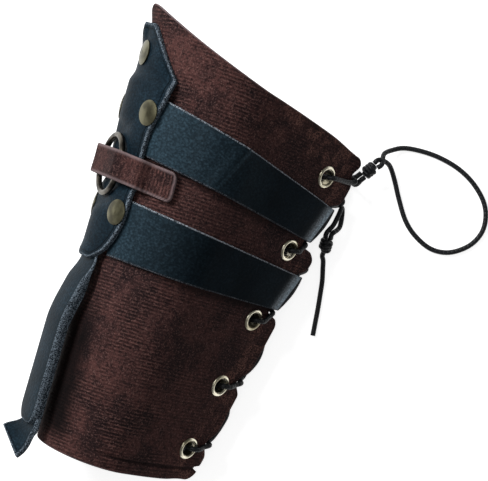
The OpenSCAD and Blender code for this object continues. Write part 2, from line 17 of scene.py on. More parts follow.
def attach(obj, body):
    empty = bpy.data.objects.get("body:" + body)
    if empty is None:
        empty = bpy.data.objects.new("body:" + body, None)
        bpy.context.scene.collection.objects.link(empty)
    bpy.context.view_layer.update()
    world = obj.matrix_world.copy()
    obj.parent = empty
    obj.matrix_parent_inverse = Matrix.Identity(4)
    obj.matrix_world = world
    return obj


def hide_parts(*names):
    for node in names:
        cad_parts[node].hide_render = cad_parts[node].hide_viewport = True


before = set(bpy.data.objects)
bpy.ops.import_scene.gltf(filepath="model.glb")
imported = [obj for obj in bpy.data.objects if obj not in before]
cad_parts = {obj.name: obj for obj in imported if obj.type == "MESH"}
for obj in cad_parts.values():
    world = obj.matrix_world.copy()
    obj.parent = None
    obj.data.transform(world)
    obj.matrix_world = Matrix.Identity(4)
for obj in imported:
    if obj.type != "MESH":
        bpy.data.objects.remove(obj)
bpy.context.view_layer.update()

# %% [markdown]
# ## Camera
# The photograph looks straight down from about 0.85 m with a long lens, so the picture's up
# direction is the arm's own direction, turned a little. A rotation matrix with the two picture
# directions as columns places the camera exactly, where angles would need trial and error.

# %% Camera
LENS = 120.0
CAMERA_AT = Vector((0.0266, -0.02065, 0.8483))
RIGHT = Vector((0.389, -0.921, 0.0)).normalized()
UP = Vector((0.921, 0.389, 0.0)).normalized()

camera_data = bpy.data.cameras.new("camera")
camera_data.lens = LENS
camera_data.sensor_width = 36.0
camera_data.clip_start = 0.05
camera_data.clip_end = 20.0
camera = bpy.data.objects.new("camera", camera_data)
bpy.context.scene.collection.objects.link(camera)
turn = Matrix((RIGHT, UP, RIGHT.cross(UP))).transposed()
camera.matrix_world = Matrix.Translation(CAMERA_AT) @ turn.to_4x4()
bpy.context.scene.camera = camera
print("camera height:", CAMERA_AT.z)

# %% [markdown]
# ## The shape of the cuff
# The cuff is a round back with two flat sides that close towards the lacing. Every leather piece
# is placed by three numbers in millimetres: x along the arm, d round the cuff from the middle
# line of the guard, and h above the cuff's outer face. Numpy works them out for a whole grid.

# %% Section of the cuff
MM = 0.001
ORIGIN_X, ORIGIN_Y = 105.1, -1.0
CUFF_LENGTH, CUFF_T = 203.5, 2.5
WRIST_R, ELBOW_R, LEAN, LACING_GAP = 27.6, 40.5, 10.5, 12.5
STRAP_T, STRAP_SEAT, SEAT = 2.2, 0.45, 0.3
SIDE, AXIS_Y = math.radians(23), 8.4


def smooth(t):
    c = np.clip(t, 0, 1)
    return c * c * (3 - 2 * c)


def mix(a, b, t):
    return a + (b - a) * t


def bell(t, width):
    return np.exp(-((t / width) ** 2))


def radius(x):
    return mix(WRIST_R, ELBOW_R, x / CUFF_LENGTH)


def arc_half(x):
    return radius(x) * (math.pi / 2 + SIDE)


def half_girth(x):
    return arc_half(x) + (radius(x) * math.cos(SIDE) - LACING_GAP / 2) / math.sin(SIDE)


def flat_point(x, u, v):
    """Point in metres from x and two distances in the cuff's own section."""
    x, u, v = np.broadcast_arrays(np.asarray(x, float), u, v)
    y = AXIS_Y + LEAN * x / CUFF_LENGTH + u * math.cos(SIDE) - v * math.sin(SIDE) - ORIGIN_Y
    z = radius(x) + STRAP_T + STRAP_SEAT + u * math.sin(SIDE) + v * math.cos(SIDE)
    return np.stack([x - ORIGIN_X, y, z], -1) * MM


def section_point(x, d, h):
    x, d, h = np.broadcast_arrays(np.asarray(x, float), np.asarray(d, float), h)
    r = radius(x)
    angle = np.minimum(np.abs(d) / r, math.pi / 2 + SIDE)
    past = np.maximum(np.abs(d) - arc_half(x), 0)
    u = (r + h) * np.cos(angle) - past * np.sin(angle)
    v = np.sign(d) * ((r + h) * np.sin(angle) + past * np.cos(angle))
    return flat_point(x, u, v)


print("girth at wrist and elbow, mm:", round(2 * half_girth(0)), round(2 * half_girth(CUFF_LENGTH)))

# %% [markdown]
# ## Landmarks
# Eyelets, straps, keeper and cover are set out from the same named distances as in the solid model,
# so that the dressed pieces fall exactly on it.

# %% Landmarks
EYELET_FIRST, EYELET_LAST, EYELET_BOW = 23.8, 26.3, 3.9
EYELET_INSET, INSET_STEP = 15.5, 1.6
EYELET_PITCH = (CUFF_LENGTH - EYELET_FIRST - EYELET_LAST) / 4
EYELETS = [EYELET_FIRST + i * EYELET_PITCH - EYELET_BOW * math.sin(math.pi * i / 4) for i in range(5)]
EYELET_OUT = [half_girth(x) - EYELET_INSET - INSET_STEP * i for i, x in enumerate(EYELETS)]
STRAP_W, STRAP_END_W, UPPER_CLIMB = 29.5, 20.5, 11.6
LOWER_INSET, UPPER_INSET = 5.7, 8.7
STRAP_INNER, STRAP_SLANT = 13.4, 0.5
STRAP_PARED, PARED_RUN = 0.9, 14.0
LACE_R = 1.3
FOLD_R, FOLD_T, FOLD_FLAP = LACE_R + 0.35, 1.5, 6.0
FOLD_H = STRAP_SEAT - FOLD_R


class Strap:
    """Where one pair of straps lies at the guard and at the lacing, and how far out it folds."""

    def __init__(self, guard_x, lace_x, reach, crease=0.0):
        self.guard_x, self.guard_w = guard_x, STRAP_W
        self.lace_x, self.lace_w = lace_x, STRAP_END_W
        self.reach, self.crease = reach, crease

    def fold(self, x):
        return self.reach + STRAP_SLANT * (x - self.lace_x)


lower_x = (EYELETS[2] + EYELETS[3]) / 2 - 0.8
upper_x = (EYELETS[3] + EYELETS[4]) / 2 - 2.8
LOWER = Strap(lower_x - 1.7, lower_x, half_girth(lower_x) - LOWER_INSET)
UPPER = Strap(upper_x + UPPER_CLIMB, upper_x, half_girth(upper_x) - UPPER_INSET, crease=1.0)

COVER_FROM = LOWER.guard_x - STRAP_W / 2 - 5.6
COVER_TO = UPPER.guard_x + 46
COVER_T = 2.5
RING_D = 32.0
KEEPER_X = (LOWER.guard_x + UPPER.guard_x) / 2 + 1.6
PLATE_FROM, PLATE_TO = 8.0, COVER_FROM + 10
print("eyelets at", [round(x, 1) for x in EYELETS], "straps at", round(lower_x, 1), round(upper_x, 1))

# %% [markdown]
# ## What wear did to the cuff
# A worn cuff is no longer a plain cone: its laced edges are drawn in, the plate has pressed a dent,
# the keeper strap a waist, and the tongue flares outwards. Each is one small formula that moves the
# leather in or out, so that every piece that lies on the cuff can follow the same skin. Sculpting
# could look the same, but then the straps and the cover wouldn't know of it.

# %% Skin of the cuff
LIFT_NEAR, LIFT_FAR, LIFT_RUN = 1.4, 3.0, 36.0
DENT_DEPTH, DENT_WIDTH, DENT_START, DENT_RISE, DENT_FALL = 3.0, 13.5, 44, 25, 17
FLARE_HEIGHT, FLARE_WIDTH, FLARE_START, FLARE_RUN = 6.0, 30.0, 3, 22
WAIST_DEPTH, WAIST_RUN, WAIST_WIDTH = 1.3, 18.0, 40.0


def edge_lift(x, d):
    lift = np.where(d > 0, LIFT_NEAR, LIFT_FAR)
    return lift * smooth((np.abs(d) - half_girth(x) + LIFT_RUN) / LIFT_RUN)


def dent(x, d):
    deeper = smooth((x - PLATE_TO + DENT_START) / DENT_RISE)
    along_it = deeper * (1 - smooth((x - PLATE_TO) / DENT_FALL))
    return DENT_DEPTH * bell(d, DENT_WIDTH) * along_it


def flare(x, d):
    along_it = np.maximum(0, x - CUFF_LENGTH + FLARE_START) / FLARE_RUN
    return FLARE_HEIGHT * along_it ** 2 * bell(d, FLARE_WIDTH)


def waist(x, d):
    return WAIST_DEPTH * bell(x - KEEPER_X, WAIST_RUN) * bell(d, WAIST_WIDTH)


def leather_point(x, d, h):
    """Point on the leather: the section with its lift, dent, waist and flare."""
    return section_point(x, d, h + flare(x, d) - edge_lift(x, d) - dent(x, d) - waist(x, d))


print("skin at the dent, mm:", round(float(-dent(PLATE_TO, 0.0)), 2))

# %% [markdown]
# ## The outline of the cuff
# Laid flat, the cuff is a fan with a curved wrist edge, a pointed tongue at the elbow and two laced
# edges. The lace pulls notches into these, and a small cut ends the hem. The edges are formulas of
# q, which runs from -1 at one laced edge to 1 at the other.

# %% Outline of the cuff
WRIST_RISE, ELBOW_FALL, TONGUE_RISE, TONGUE_HALF = 6.0, 9.8, 18.5, 0.48


def wrist_edge(q):
    return 1.2 + WRIST_RISE * q * q


def elbow_edge(q):
    tongue = np.maximum(0, 1 - np.sqrt(q * q + 0.0004) / TONGUE_HALF) ** 1.6
    return CUFF_LENGTH - ELBOW_FALL * q * q + TONGUE_RISE * tongue


# Middle, half width and depth of three notches and of the cut that ends the hem
NOTCHES = [(EYELETS[0] + 4.7, 8.0, 4.5), (EYELETS[1] + 4.7, 8.0, 6.0), (EYELETS[4] + 7.0, 7.0, 3.5),
           (wrist_edge(1) + 7.4, 1.9, 4.0)]


def notch(x, centre, width, depth):
    return depth * (1 - smooth(np.abs(x - centre) / width))


def laced_edge(x):
    return half_girth(x) - sum(notch(x, *cut) for cut in NOTCHES)


print("tip of the tongue at x =", round(float(elbow_edge(0.0)), 1))

# %% [markdown]
# ## A lace as a tube
# A lace is a round cord. Geometry Nodes sweep a circle along a curve, and keep the distance along
# the lace and the sine and cosine round it in an attribute, so that the finish can show the
# lace's twist without a seam. The tree is built once and used for every run of lace.

# %% Geometry Nodes tree for the lace


def group_socket(tree, name, kind, default=None):
    item = tree.interface.new_socket(name=name, in_out="INPUT", socket_type=kind)
    if default is not None:
        item.default_value = default
    return item.identifier


lace_tree = bpy.data.node_groups.new("lace", "GeometryNodeTree")
group_socket(lace_tree, "Route", "NodeSocketGeometry")
LACE_INPUTS = {
    "radius": group_socket(lace_tree, "Radius", "NodeSocketFloat", LACE_R * MM),
    "sides": group_socket(lace_tree, "Sides", "NodeSocketInt", 12),
    "finish": group_socket(lace_tree, "Finish", "NodeSocketMaterial"),
}
lace_tree.interface.new_socket(name="Lace", in_out="OUTPUT", socket_type="NodeSocketGeometry")


def plug(tree, socket, value):
    """Links a socket to another one, or sets it to a plain value."""
    if isinstance(value, bpy.types.NodeSocket):
        tree.links.new(value, socket)
    else:
        socket.default_value = value


def tree_node(tree, kind, settings=None, inputs=None):
    """Adds one node, sets it, and plugs its inputs by name or number."""
    made = tree.nodes.new(kind)
    for key, value in (settings or {}).items():
        setattr(made, key, value)
    for key, value in (inputs or {}).items():
        plug(tree, made.inputs[key], value)
    return made


given = tree_node(lace_tree, "NodeGroupInput").outputs
along = tree_node(lace_tree, "GeometryNodeSplineParameter")
route = tree_node(lace_tree, "GeometryNodeCaptureAttribute", {}, {"Geometry": given["Route"]})
route.capture_items.new("FLOAT", "along")
lace_tree.links.new(along.outputs["Length"], route.inputs["along"])
circle = tree_node(lace_tree, "GeometryNodeCurvePrimitiveCircle", {},
                   {"Resolution": given["Sides"], "Radius": given["Radius"]}).outputs["Curve"]
round_it = tree_node(lace_tree, "GeometryNodeCaptureAttribute", {}, {"Geometry": circle})
round_it.capture_items.new("FLOAT", "around")
lace_tree.links.new(along.outputs["Factor"], round_it.inputs["around"])
tube = tree_node(lace_tree, "GeometryNodeCurveToMesh", {},
                 {"Curve": route.outputs["Geometry"], "Profile Curve": round_it.outputs["Geometry"],
                  "Fill Caps": True})
angle = tree_node(lace_tree, "ShaderNodeMath", {"operation": "MULTIPLY"},
                  {0: round_it.outputs["around"], 1: 2 * math.pi}).outputs[0]
sine = tree_node(lace_tree, "ShaderNodeMath", {"operation": "SINE"}, {0: angle}).outputs[0]
cosine = tree_node(lace_tree, "ShaderNodeMath", {"operation": "COSINE"}, {0: angle}).outputs[0]
triple = tree_node(lace_tree, "ShaderNodeCombineXYZ", {},
                   {0: route.outputs["along"], 1: cosine, 2: sine}).outputs[0]
stored = tree_node(lace_tree, "GeometryNodeStoreNamedAttribute",
                   {"data_type": "FLOAT_VECTOR", "domain": "POINT"},
                   {"Geometry": tube.outputs[0], "Name": "run", "Value": triple})
shaded = tree_node(lace_tree, "GeometryNodeSetShadeSmooth", {}, {"Geometry": stored.outputs[0]})
real = tree_node(lace_tree, "GeometryNodeRealizeInstances", {}, {"Geometry": shaded.outputs[0]})
coated = tree_node(lace_tree, "GeometryNodeSetMaterial", {},
                   {"Geometry": real.outputs[0], "Material": given["Finish"]})
tree_node(lace_tree, "NodeGroupOutput", {}, {"Lace": coated.outputs[0]})
print("lace tree:", len(lace_tree.nodes), "nodes")

# %% [markdown]
# ## Laying a lace
# A hand lays a lace by a few points, and the lace bends smoothly through them. `bend` fills in the
# curve, and `lay_lace` hands it to the tree above.

# %% Lay a lace along a route
BEND_STEPS = 6


def bend(points):
    """Smooth curve through the points of a route."""
    p = np.array([points[0], *points, points[-1]], float)
    t = (np.arange(BEND_STEPS) / BEND_STEPS)[:, None]
    spans = []
    for a, b, c, d in zip(p, p[1:], p[2:], p[3:]):
        spans.append(0.5 * (2 * b + (c - a) * t + (2 * a - 5 * b + 4 * c - d) * t * t
                            + (3 * b - 3 * c + d - a) * t * t * t))
    return np.vstack([*spans, p[-1:]])


def lay_lace(name, routes, finish, thick=LACE_R, sides=12):
    """Makes one mesh from one or more routes, each a list of points in metres."""
    curve = bpy.data.curves.new(name, "CURVE")
    curve.dimensions = "3D"
    curve.twist_mode = "MINIMUM"
    for points in routes:
        spline = curve.splines.new("POLY")
        spline.points.add(len(points) - 1)
        spline.points.foreach_set("co", np.c_[points, np.ones(len(points))].ravel())
    source = bpy.data.objects.new(name + ".route", curve)
    bpy.context.scene.collection.objects.link(source)
    sweep = source.modifiers.new("lace", "NODES")
    sweep.node_group = lace_tree
    sweep[LACE_INPUTS["radius"]] = thick * MM
    sweep[LACE_INPUTS["sides"]] = sides
    sweep[LACE_INPUTS["finish"]] = finish
    bpy.context.view_layer.update()
    graph = bpy.context.evaluated_depsgraph_get()
    mesh = bpy.data.meshes.new_from_object(source.evaluated_get(graph))
    mesh.name = name
    made = bpy.data.objects.new(name, mesh)
    bpy.context.scene.collection.objects.link(made)
    bpy.data.objects.remove(source)
    print(name, "faces:", len(mesh.polygons))
    return made


print("points of a bend through three:", len(bend([(0, 0, 0), (1, 0, 0), (1, 1, 0)])))

# %% [markdown]
# ## Shader maths
# A finish is easier to read as arithmetic than as a web of nodes. `Field` wraps a socket, so that
# an expression adds its Math nodes, with the reflected forms that let 1 - mask work.

# %% Fields


class Field:
    def __init__(self, finish, socket):
        self.finish, self.socket = finish, socket

    def _math(self, operation, *values):
        return self.finish.node("ShaderNodeMath", {"operation": operation}, dict(enumerate(values)))

    def __add__(self, other):
        return self._math("ADD", self, other)

    __radd__ = __add__

    def __sub__(self, other):
        return self._math("SUBTRACT", self, other)

    def __rsub__(self, other):
        return self._math("SUBTRACT", other, self)

    def __mul__(self, other):
        return self._math("MULTIPLY", self, other)

    __rmul__ = __mul__

    def __truediv__(self, other):
        return self._math("DIVIDE", self, other)

    def __pow__(self, other):
        return self._math("POWER", self, other)

    def sine(self):
        return self._math("SINE", self)

    def step(self, low, high):
        """0 below low, 1 above high, and a smooth rise between them."""
        return self.finish.node("ShaderNodeMapRange", {"interpolation_type": "SMOOTHSTEP"},
                                {0: self, 1: low, 2: high})


print("a field adds its own Math nodes")

# %% [markdown]
# ## Finishes
# A finish is one material: a Principled shader and the nodes that feed it. `Finish` adds any node
# in one call, from its type, its settings and its inputs, and has short names for the patterns that
# leather, lace and metal share. What never varies is set straight on the shader.

# %% Finishes


def colour(red, green, blue):
    """Picture values from 0 to 255 as a linear colour."""
    return tuple(((c / 255 + 0.055) / 1.055) ** 2.4 if c > 10 else c / 255 / 12.92
                 for c in (red, green, blue)) + (1.0,)


class Finish:
    def __init__(self, name, **constants):
        self.material = bpy.data.materials.new(name)
        self.material.use_nodes = True
        self.tree = self.material.node_tree
        self.tree.nodes.clear()
        self.shader = self.tree.nodes.new("ShaderNodeBsdfPrincipled")
        output = self.tree.nodes.new("ShaderNodeOutputMaterial")
        self.tree.links.new(self.shader.outputs[0], output.inputs["Surface"])
        for key, value in constants.items():
            self.shader.inputs[key.replace("_", " ")].default_value = value

    def node(self, kind, settings=None, inputs=None, out=0):
        """Adds one node, whose inputs may be fields, and gives one output as a field."""
        plain = {key: getattr(value, "socket", value) for key, value in (inputs or {}).items()}
        return Field(self, tree_node(self.tree, kind, settings, plain).outputs[out])

    def numbers(self, vector, count):
        """The first numbers of a vector, as fields."""
        split = self.node("ShaderNodeSeparateXYZ", {}, {0: vector}).socket.node
        return [Field(self, split.outputs[i]) for i in range(count)]

    def place(self):
        return self.node("ShaderNodeTexCoord", out="Object")

    def stretched(self, where, scale):
        return self.node("ShaderNodeMapping", {}, {"Vector": where, "Scale": scale})

    def noise(self, where, scale, detail=2.0, rough=0.5, bent=0.0):
        return self.node("ShaderNodeTexNoise", {}, {
            "Vector": where, "Scale": scale, "Detail": detail, "Roughness": rough, "Distortion": bent})

    def cells(self, where, scale, feature="F1"):
        return self.node("ShaderNodeTexVoronoi", {"feature": feature},
                         {"Vector": where, "Scale": scale})

    def blend(self, factor, first, second, way="MIX"):
        return self.node("ShaderNodeMix", {"data_type": "RGBA", "blend_type": way},
                         {0: factor, 6: first, 7: second}, out=2)

    def kept(self, name, out="Fac"):
        return self.node("ShaderNodeAttribute", {"attribute_name": name}, out=out)

    def relief(self, height, depth, below=None):
        """Bump from a height of 0 to 1, with the real depth in metres."""
        inputs = {"Height": height, "Distance": depth, "Strength": 1.0}
        if below is not None:
            inputs["Normal"] = below
        return self.node("ShaderNodeBump", {}, inputs)

    def set(self, **values):
        for key, value in values.items():
            plug(self.tree, self.shader.inputs[key.replace("_", " ")], getattr(value, "socket", value))


print("white as a linear colour:", colour(255, 255, 255))

# %% [markdown]
# ## Lace finish
# The lace is round, black and waxed: nearly black, with a narrow soft highlight that the fine
# twist of its yarns breaks up.

# %% Lace finish
lace_finish = Finish("lace_black", Roughness=0.5, Specular_IOR_Level=0.3)
length, around_cos, around_sin = lace_finish.numbers(lace_finish.kept("run", "Vector"), 3)
YARN_PITCH = 0.0022
TWIST = 2 * math.pi / YARN_PITCH
phase_sin, phase_cos = (length * TWIST).sine(), (length * TWIST + math.pi / 2).sine()
left = phase_sin * around_cos + phase_cos * around_sin
right = phase_sin * around_cos - phase_cos * around_sin
braid = lace_finish.node("ShaderNodeMath", {"operation": "MAXIMUM"}, {0: left, 1: right}) * 0.5 + 0.5
fibre = lace_finish.noise(lace_finish.place(), 2600, 2)
yarn = braid * 0.7 + fibre * 0.3
lace_finish.set(
    Base_Color=lace_finish.blend(yarn, colour(4, 5, 7), colour(20, 23, 27)),
    Roughness=0.36 + 0.25 * fibre,
    Normal=lace_finish.relief(yarn, 0.0003))
print("yarns of the lace turn once every", YARN_PITCH, "m")

# %% [markdown]
# ## Knots
# The lace is wound into two hard knots, one at the top eyelet and one beside the upper strap fold.
# Both have one length and one thickness. A knot is a place and a way, and it knows where a lace
# leaves it, so that the loose pieces of lace start exactly on its flat ends.

# %% Knots
KNOT_L, KNOT_D = 8.4, 7.0
END_GAP, SIDE_GAP = 0.02, 0.1


def unit(v):
    v = np.asarray(v, float)
    return v / np.linalg.norm(v)


def in_frame(point):
    return (np.asarray(point, float) - [ORIGIN_X, ORIGIN_Y, 0]) * MM


class Knot:
    def __init__(self, at, way):
        self.at, self.way = in_frame(at), unit(way)
        self.side = unit(np.cross([0, 0, 1], self.way))
        self.third = np.cross(self.way, self.side)

    def end(self, way, side, past=0.0):
        """Middle of a lace where it meets the knot's flat end."""
        return (self.at + way * self.way * (KNOT_L / 2 + END_GAP + past) * MM
                + side * (LACE_R + SIDE_GAP) * self.side * MM)


top_knot = Knot((190, -67, 11.5), (0.86, -0.5, -0.1))
low_knot = Knot((146, -61.5, 7.5), (0.85, 0.1, 0.45))
print("knots at", [[round(float(v), 4) for v in knot.at] for knot in (top_knot, low_knot)])

# %% [markdown]
# ## The loose lace
# A big loop leaves the top knot and lies on the table, a short end leaves the lower knot, and a
# doubled tie goes from it to the strap fold. Their routes repeat the points of the solid model.
# The lace is limp, so it touches the table all the way once it has come down from the knot.

# %% Loop, tail and tie
LAID = 1.35
LOOP = [(201, -71, 7), (205, -74.5, 3.4), (208.5, -80, 1.6), (210.5, -89, LAID), (211, -99, LAID),
        (209.5, -110, LAID), (205.5, -120, LAID), (199, -128.5, LAID), (191.5, -133, LAID),
        (183, -134, LAID), (174.5, -130.5, LAID), (167.5, -122.5, LAID), (165.5, -113, LAID),
        (168.5, -103, LAID), (174, -95, LAID), (183, -87.5, 1.4), (190.5, -82, 2.2), (196, -77, 5),
        (197.5, -73.5, 8)]
TAIL = [(138, -63.6, 3.2), (134, -65.2, 1.65), (128, -67.4, LAID), (121, -69.2, LAID),
        (114, -70.9, LAID), (107, -72.4, LAID), (100, -73.9, LAID)]
TIE = [(157, -61, 10.5), (163, -61.5, 9.5), (167, -61.8, 6.5), (163, -63.5, 5.5), (157, -64.5, 6.5)]


def route_length(points):
    return float(np.linalg.norm(np.diff(points, axis=0), axis=1).sum())


loop_route = bend([top_knot.end(1, -1), top_knot.end(1, -1, 3), *map(in_frame, LOOP),
                   top_knot.end(1, 1, 3), top_knot.end(1, 1)])
tail_start = low_knot.at - low_knot.way * (KNOT_L / 2 + 0.05) * MM
tail_route = bend([tail_start, tail_start - 2.5 * MM * low_knot.way, *map(in_frame, TAIL)])
tie_route = bend([low_knot.end(1, 1), low_knot.end(1, 1, 3), *map(in_frame, TIE),
                  low_knot.end(1, -1, 3), low_knot.end(1, -1)])

lace = lace_finish.material
lace_loop = lay_lace("loop_of_lace", [loop_route], lace)
lace_tail = lay_lace("tail_of_lace", [tail_route], lace)
lace_tie = lay_lace("tie_of_lace", [tie_route], lace)
print("lengths of loop and tail, m:", [round(route_length(r), 4) for r in (loop_route, tail_route)])

# %% [markdown]
# ## Winding the knots
# A real knot of this kind is the lace wound tight round itself. A helix with its two ends tucked in,
# round a straight core, gives the same ridges, and it goes through the same tree as the rest.

# %% Wind the knots
KNOT_TURNS, TUCK_SHARE = 3.3, 0.09


def wind_knot(name, knot):
    """Winds the lace round a core and tucks its two ends in."""
    t = np.linspace(0, 1, 90)
    angle = 2 * math.pi * KNOT_TURNS * t + 0.6
    tuck = smooth(t / TUCK_SHARE) * smooth((1 - t) / TUCK_SHARE)
    spread = (KNOT_D / 2 - LACE_R) * (0.35 + 0.65 * tuck)
    reach = (t - 0.5) * (KNOT_L - 2 * LACE_R) * 0.98
    wound = knot.at + MM * (spread[:, None] * (np.cos(angle)[:, None] * knot.side
                                               + np.sin(angle)[:, None] * knot.third)
                            + reach[:, None] * knot.way)
    core = [knot.at + knot.way * s * (KNOT_L / 2 - 0.3) * MM for s in np.linspace(-1, 1, 6)]
    return lay_lace(name, [wound, core], lace, sides=14)


def stand_for(piece, node):
    """The piece moves with the cuff and takes the place of a node of the solid model."""
    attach(piece, "bracer")
    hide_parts(node)


knot_top = wind_knot("wound_top_knot", top_knot)
knot_low = wind_knot("wound_lower_knot", low_knot)
for piece, node in ((lace_loop, "lace_loop"), (lace_tail, "lace_tail"), (lace_tie, "lace_tie"),
                    (knot_top, "top_knot"), (knot_low, "lower_knot")):
    stand_for(piece, node)
print("pieces of loose lace:", 5)

# %% [markdown]
# ## Stretches of the lacing
# One lace goes up through an eyelet, over the cut edge and across the gap to the other side. In
# the middle of the cuff it runs through the folded ends of the straps. Each stretch is a few
# points on the leather, in the order in which a hand would pull the lace through.

# %% Stretches of the lacing
UNDER = -CUFF_T
RIM_T, SLOT_SIDE, MOUTH_MID = 1.0, 3.0, 0.85


def at(x, side, d, h):
    return leather_point(x, side * d, h).reshape(3)


def apex(x):
    return -radius(x) * math.sin(SIDE) - (half_girth(x) - arc_half(x)) * math.cos(SIDE)


def mouth(x, depth, v):
    """Point between the laced edges, from its depth behind them and its side of the middle."""
    return flat_point(x, apex(x) + depth, MOUTH_MID + v).reshape(3)


def rise(i, side):
    x, d = EYELETS[i], EYELET_OUT[i]
    return [at(x - 2.4, side, d + 6, UNDER - 4.4), at(x - 0.8, side, d + 1.4, UNDER - 2.4),
            at(x, side, d + 0.9, -1), at(x + 0.5, side, d + 1.9, 1.6),
            at(x + 1.2, side, d + 5, LACE_R + RIM_T + 0.6)]


def over_edge(i, side):
    x, top = EYELETS[i], LACE_R + 0.4
    return [at(x + 2.8, side, laced_edge(x + 2.8) - 3, top),
            at(x + 4.6, side, laced_edge(x + 4.6) + 1.1, top),
            at(x + 5.6, side, laced_edge(x + 5.6) + LACE_R + 0.7, UNDER / 2)]


def across(start, end, side, way):
    """One crossing of the gap, where one strand passes in front of the other."""
    first, second, third, last = (1.1, -0.8, -0.4, 3.4) if way > 0 else (2.4, 3.4, 3.6, 6.4)
    return [mouth(start, first, side * 1.9), mouth(mix(start, end, 0.35), second, 0),
            mouth(mix(start, end, 0.7), third, 0), mouth(end, last, -side)]


def through_fold(strap, side):
    start, end = strap.lace_x - strap.lace_w / 2, strap.lace_x + strap.lace_w / 2
    top, enter = LACE_R + 0.4, strap.fold(start)
    into = [at(start - SLOT_SIDE - 1.6, side, enter - 4, top),
            at(start - SLOT_SIDE + 1, side, enter - 1.3, top - 0.4)]
    return into + [at(x, side, strap.fold(x), FOLD_H)
                   for x in mix(start - 0.3, end + 0.6, np.array([0, 0.33, 0.67, 1]))]


print("gap between the laced edges, mm:", LACING_GAP)

# %% [markdown]
# ## The lacing
# Two strands cross at every gap, and a bar across the wrist joins them under the leather. They are
# strung into one route, from one end at the top knot to the other, and swept as one unbroken lace.

# %% Lacing
LEAVE, ARRIVE, PAST_FOLD = 8.6, 7.0, 2.6


def strand(side):
    """One strand, from the first eyelet of a side to the last eyelet of the same side."""
    e, past = EYELETS, STRAP_END_W / 2 + PAST_FOLD
    return [*rise(0, side), *over_edge(0, side), *across(e[0] + LEAVE, e[1] - ARRIVE, side, side),
            *rise(1, -side), *over_edge(1, -side), *across(e[1] + LEAVE, e[2] - ARRIVE, -side, side),
            *rise(2, side), *through_fold(LOWER, side),
            *across(LOWER.lace_x + past, e[3] - 4, side, side),
            *rise(3, -side), *through_fold(UPPER, -side),
            *across(UPPER.lace_x + past, e[4] - 5, -side, side),
            *rise(4, side), *over_edge(4, side)]


x_bar, d_bar = EYELETS[0] - 5, EYELET_OUT[0] + 5
bar = [at(x_bar, 1, d_bar, -9), mouth(x_bar - 1.5, 9, 0), at(x_bar, -1, d_bar, -9)]
drop = np.array([0, 0, 4]) * MM
near_end = [top_knot.end(-1, 1, 3), top_knot.end(-1, 1)]
far_end = [top_knot.end(-1, -1, 6) - drop, top_knot.end(-1, -1, 2), top_knot.end(-1, -1)]
strand_back = (strand(-1) + far_end)[::-1]
laced_route = bend(strand_back + bar[::-1] + strand(1) + near_end)
stand_for(lay_lace("lacing_of_lace", [laced_route], lace), "lacing")
print("laced length, m:", round(route_length(laced_route), 3))

# %% [markdown]
# ## A piece of leather as a shell
# Cut leather is a sheet with a thickness and rounded edges. `shell` joins an outer and an inner
# grid of points round their border. Grid lines crowd near the border, so that the edge rounds off
# in real geometry. The distance from the border is kept as an attribute for the finish, and the
# UV map holds true distances on the leather, so that a grain or a rib follows every bend.

# %% Shell helpers
EDGE = np.array([0, 0.1, 0.3, 0.6, 1.0, 1.5])
BORDER, INSET_KEPT = 2.2, 20.0


def grid_lines(span, pitch):
    """Distances from 0 to span, close together at both ends."""
    inner = np.linspace(BORDER, span - BORDER, max(2, int((span - 2 * BORDER) / pitch)))
    return np.concatenate([EDGE, inner, span - EDGE[::-1]])


def from_border(rows, span, across_it, wide):
    """Distance of each grid point from the nearest edge of the piece."""
    return np.minimum(np.minimum(rows, span - rows), np.minimum(across_it, wide - across_it))


def leather_map(along_it, across_it):
    """UV of each grid point, from two distances on the leather in millimetres."""
    return np.stack(np.broadcast_arrays(along_it / 100, across_it / 100), -1)


def rounding(inset, size):
    """How far the surface falls back near a rounded edge."""
    left_over = size - np.clip(inset, 0, size)
    return size - np.sqrt(np.maximum(size * size - left_over * left_over, 0))


def shell(name, outer, inner, inset, uv, finish):
    n, m = outer.shape[:2]
    count = n * m
    points = np.concatenate([outer.reshape(-1, 3), inner.reshape(-1, 3)])
    index = np.arange(count).reshape(n, m)
    a, b, c, d = index[:-1, :-1], index[:-1, 1:], index[1:, :-1], index[1:, 1:]
    border = np.concatenate([index[0, :], index[1:, -1], index[-1, -2::-1], index[-2:0:-1, 0]])
    after = np.roll(border, -1)
    faces = np.concatenate([
        np.stack([a, b, d, c], -1).reshape(-1, 4), np.stack([a, c, d, b], -1).reshape(-1, 4) + count,
        np.stack([border, border + count, after + count, after], -1)])
    p, q, r = (points[faces[:, k]] for k in range(3))
    if np.einsum("ij,ij->", p - points.mean(0), np.cross(q - p, r - p)) < 0:
        faces = faces[:, ::-1]
    mesh = bpy.data.meshes.new(name)
    mesh.from_pydata(points.tolist(), [], faces.tolist())
    mesh.polygons.foreach_set("use_smooth", [True] * len(mesh.polygons))
    corner = np.empty(len(mesh.loops), dtype=np.int64)
    mesh.loops.foreach_get("vertex_index", corner)
    layer = mesh.uv_layers.new(name="leather")
    layer.data.foreach_set("uv", uv.reshape(-1, 2)[corner % count].astype(np.float32).ravel())
    kept = mesh.attributes.new("inset", "FLOAT", "POINT")
    kept.data.foreach_set("value", np.tile(np.minimum(inset, INSET_KEPT).ravel(), 2).astype(np.float32))
    mesh.materials.append(finish.material)
    made = bpy.data.objects.new(name, mesh)
    bpy.context.scene.collection.objects.link(made)
    print(name, "faces:", len(faces))
    return made


print("grid lines over 20 mm:", len(grid_lines(20.0, 1.0)))

# %% [markdown]
# ## Patterns in the suede
# Brushed suede is matt. Its nap shows fine ribs across the arm and near-black blotches that were
# rubbed in. A cloth texture would repeat, so the ribs are a sine of the UV map: they climb a little
# to both sides, as the skin was cut on a curve, and the blotches are noise on the object's place.
# The map counts in tenths of a metre, along the arm and round it from the middle of the guard.

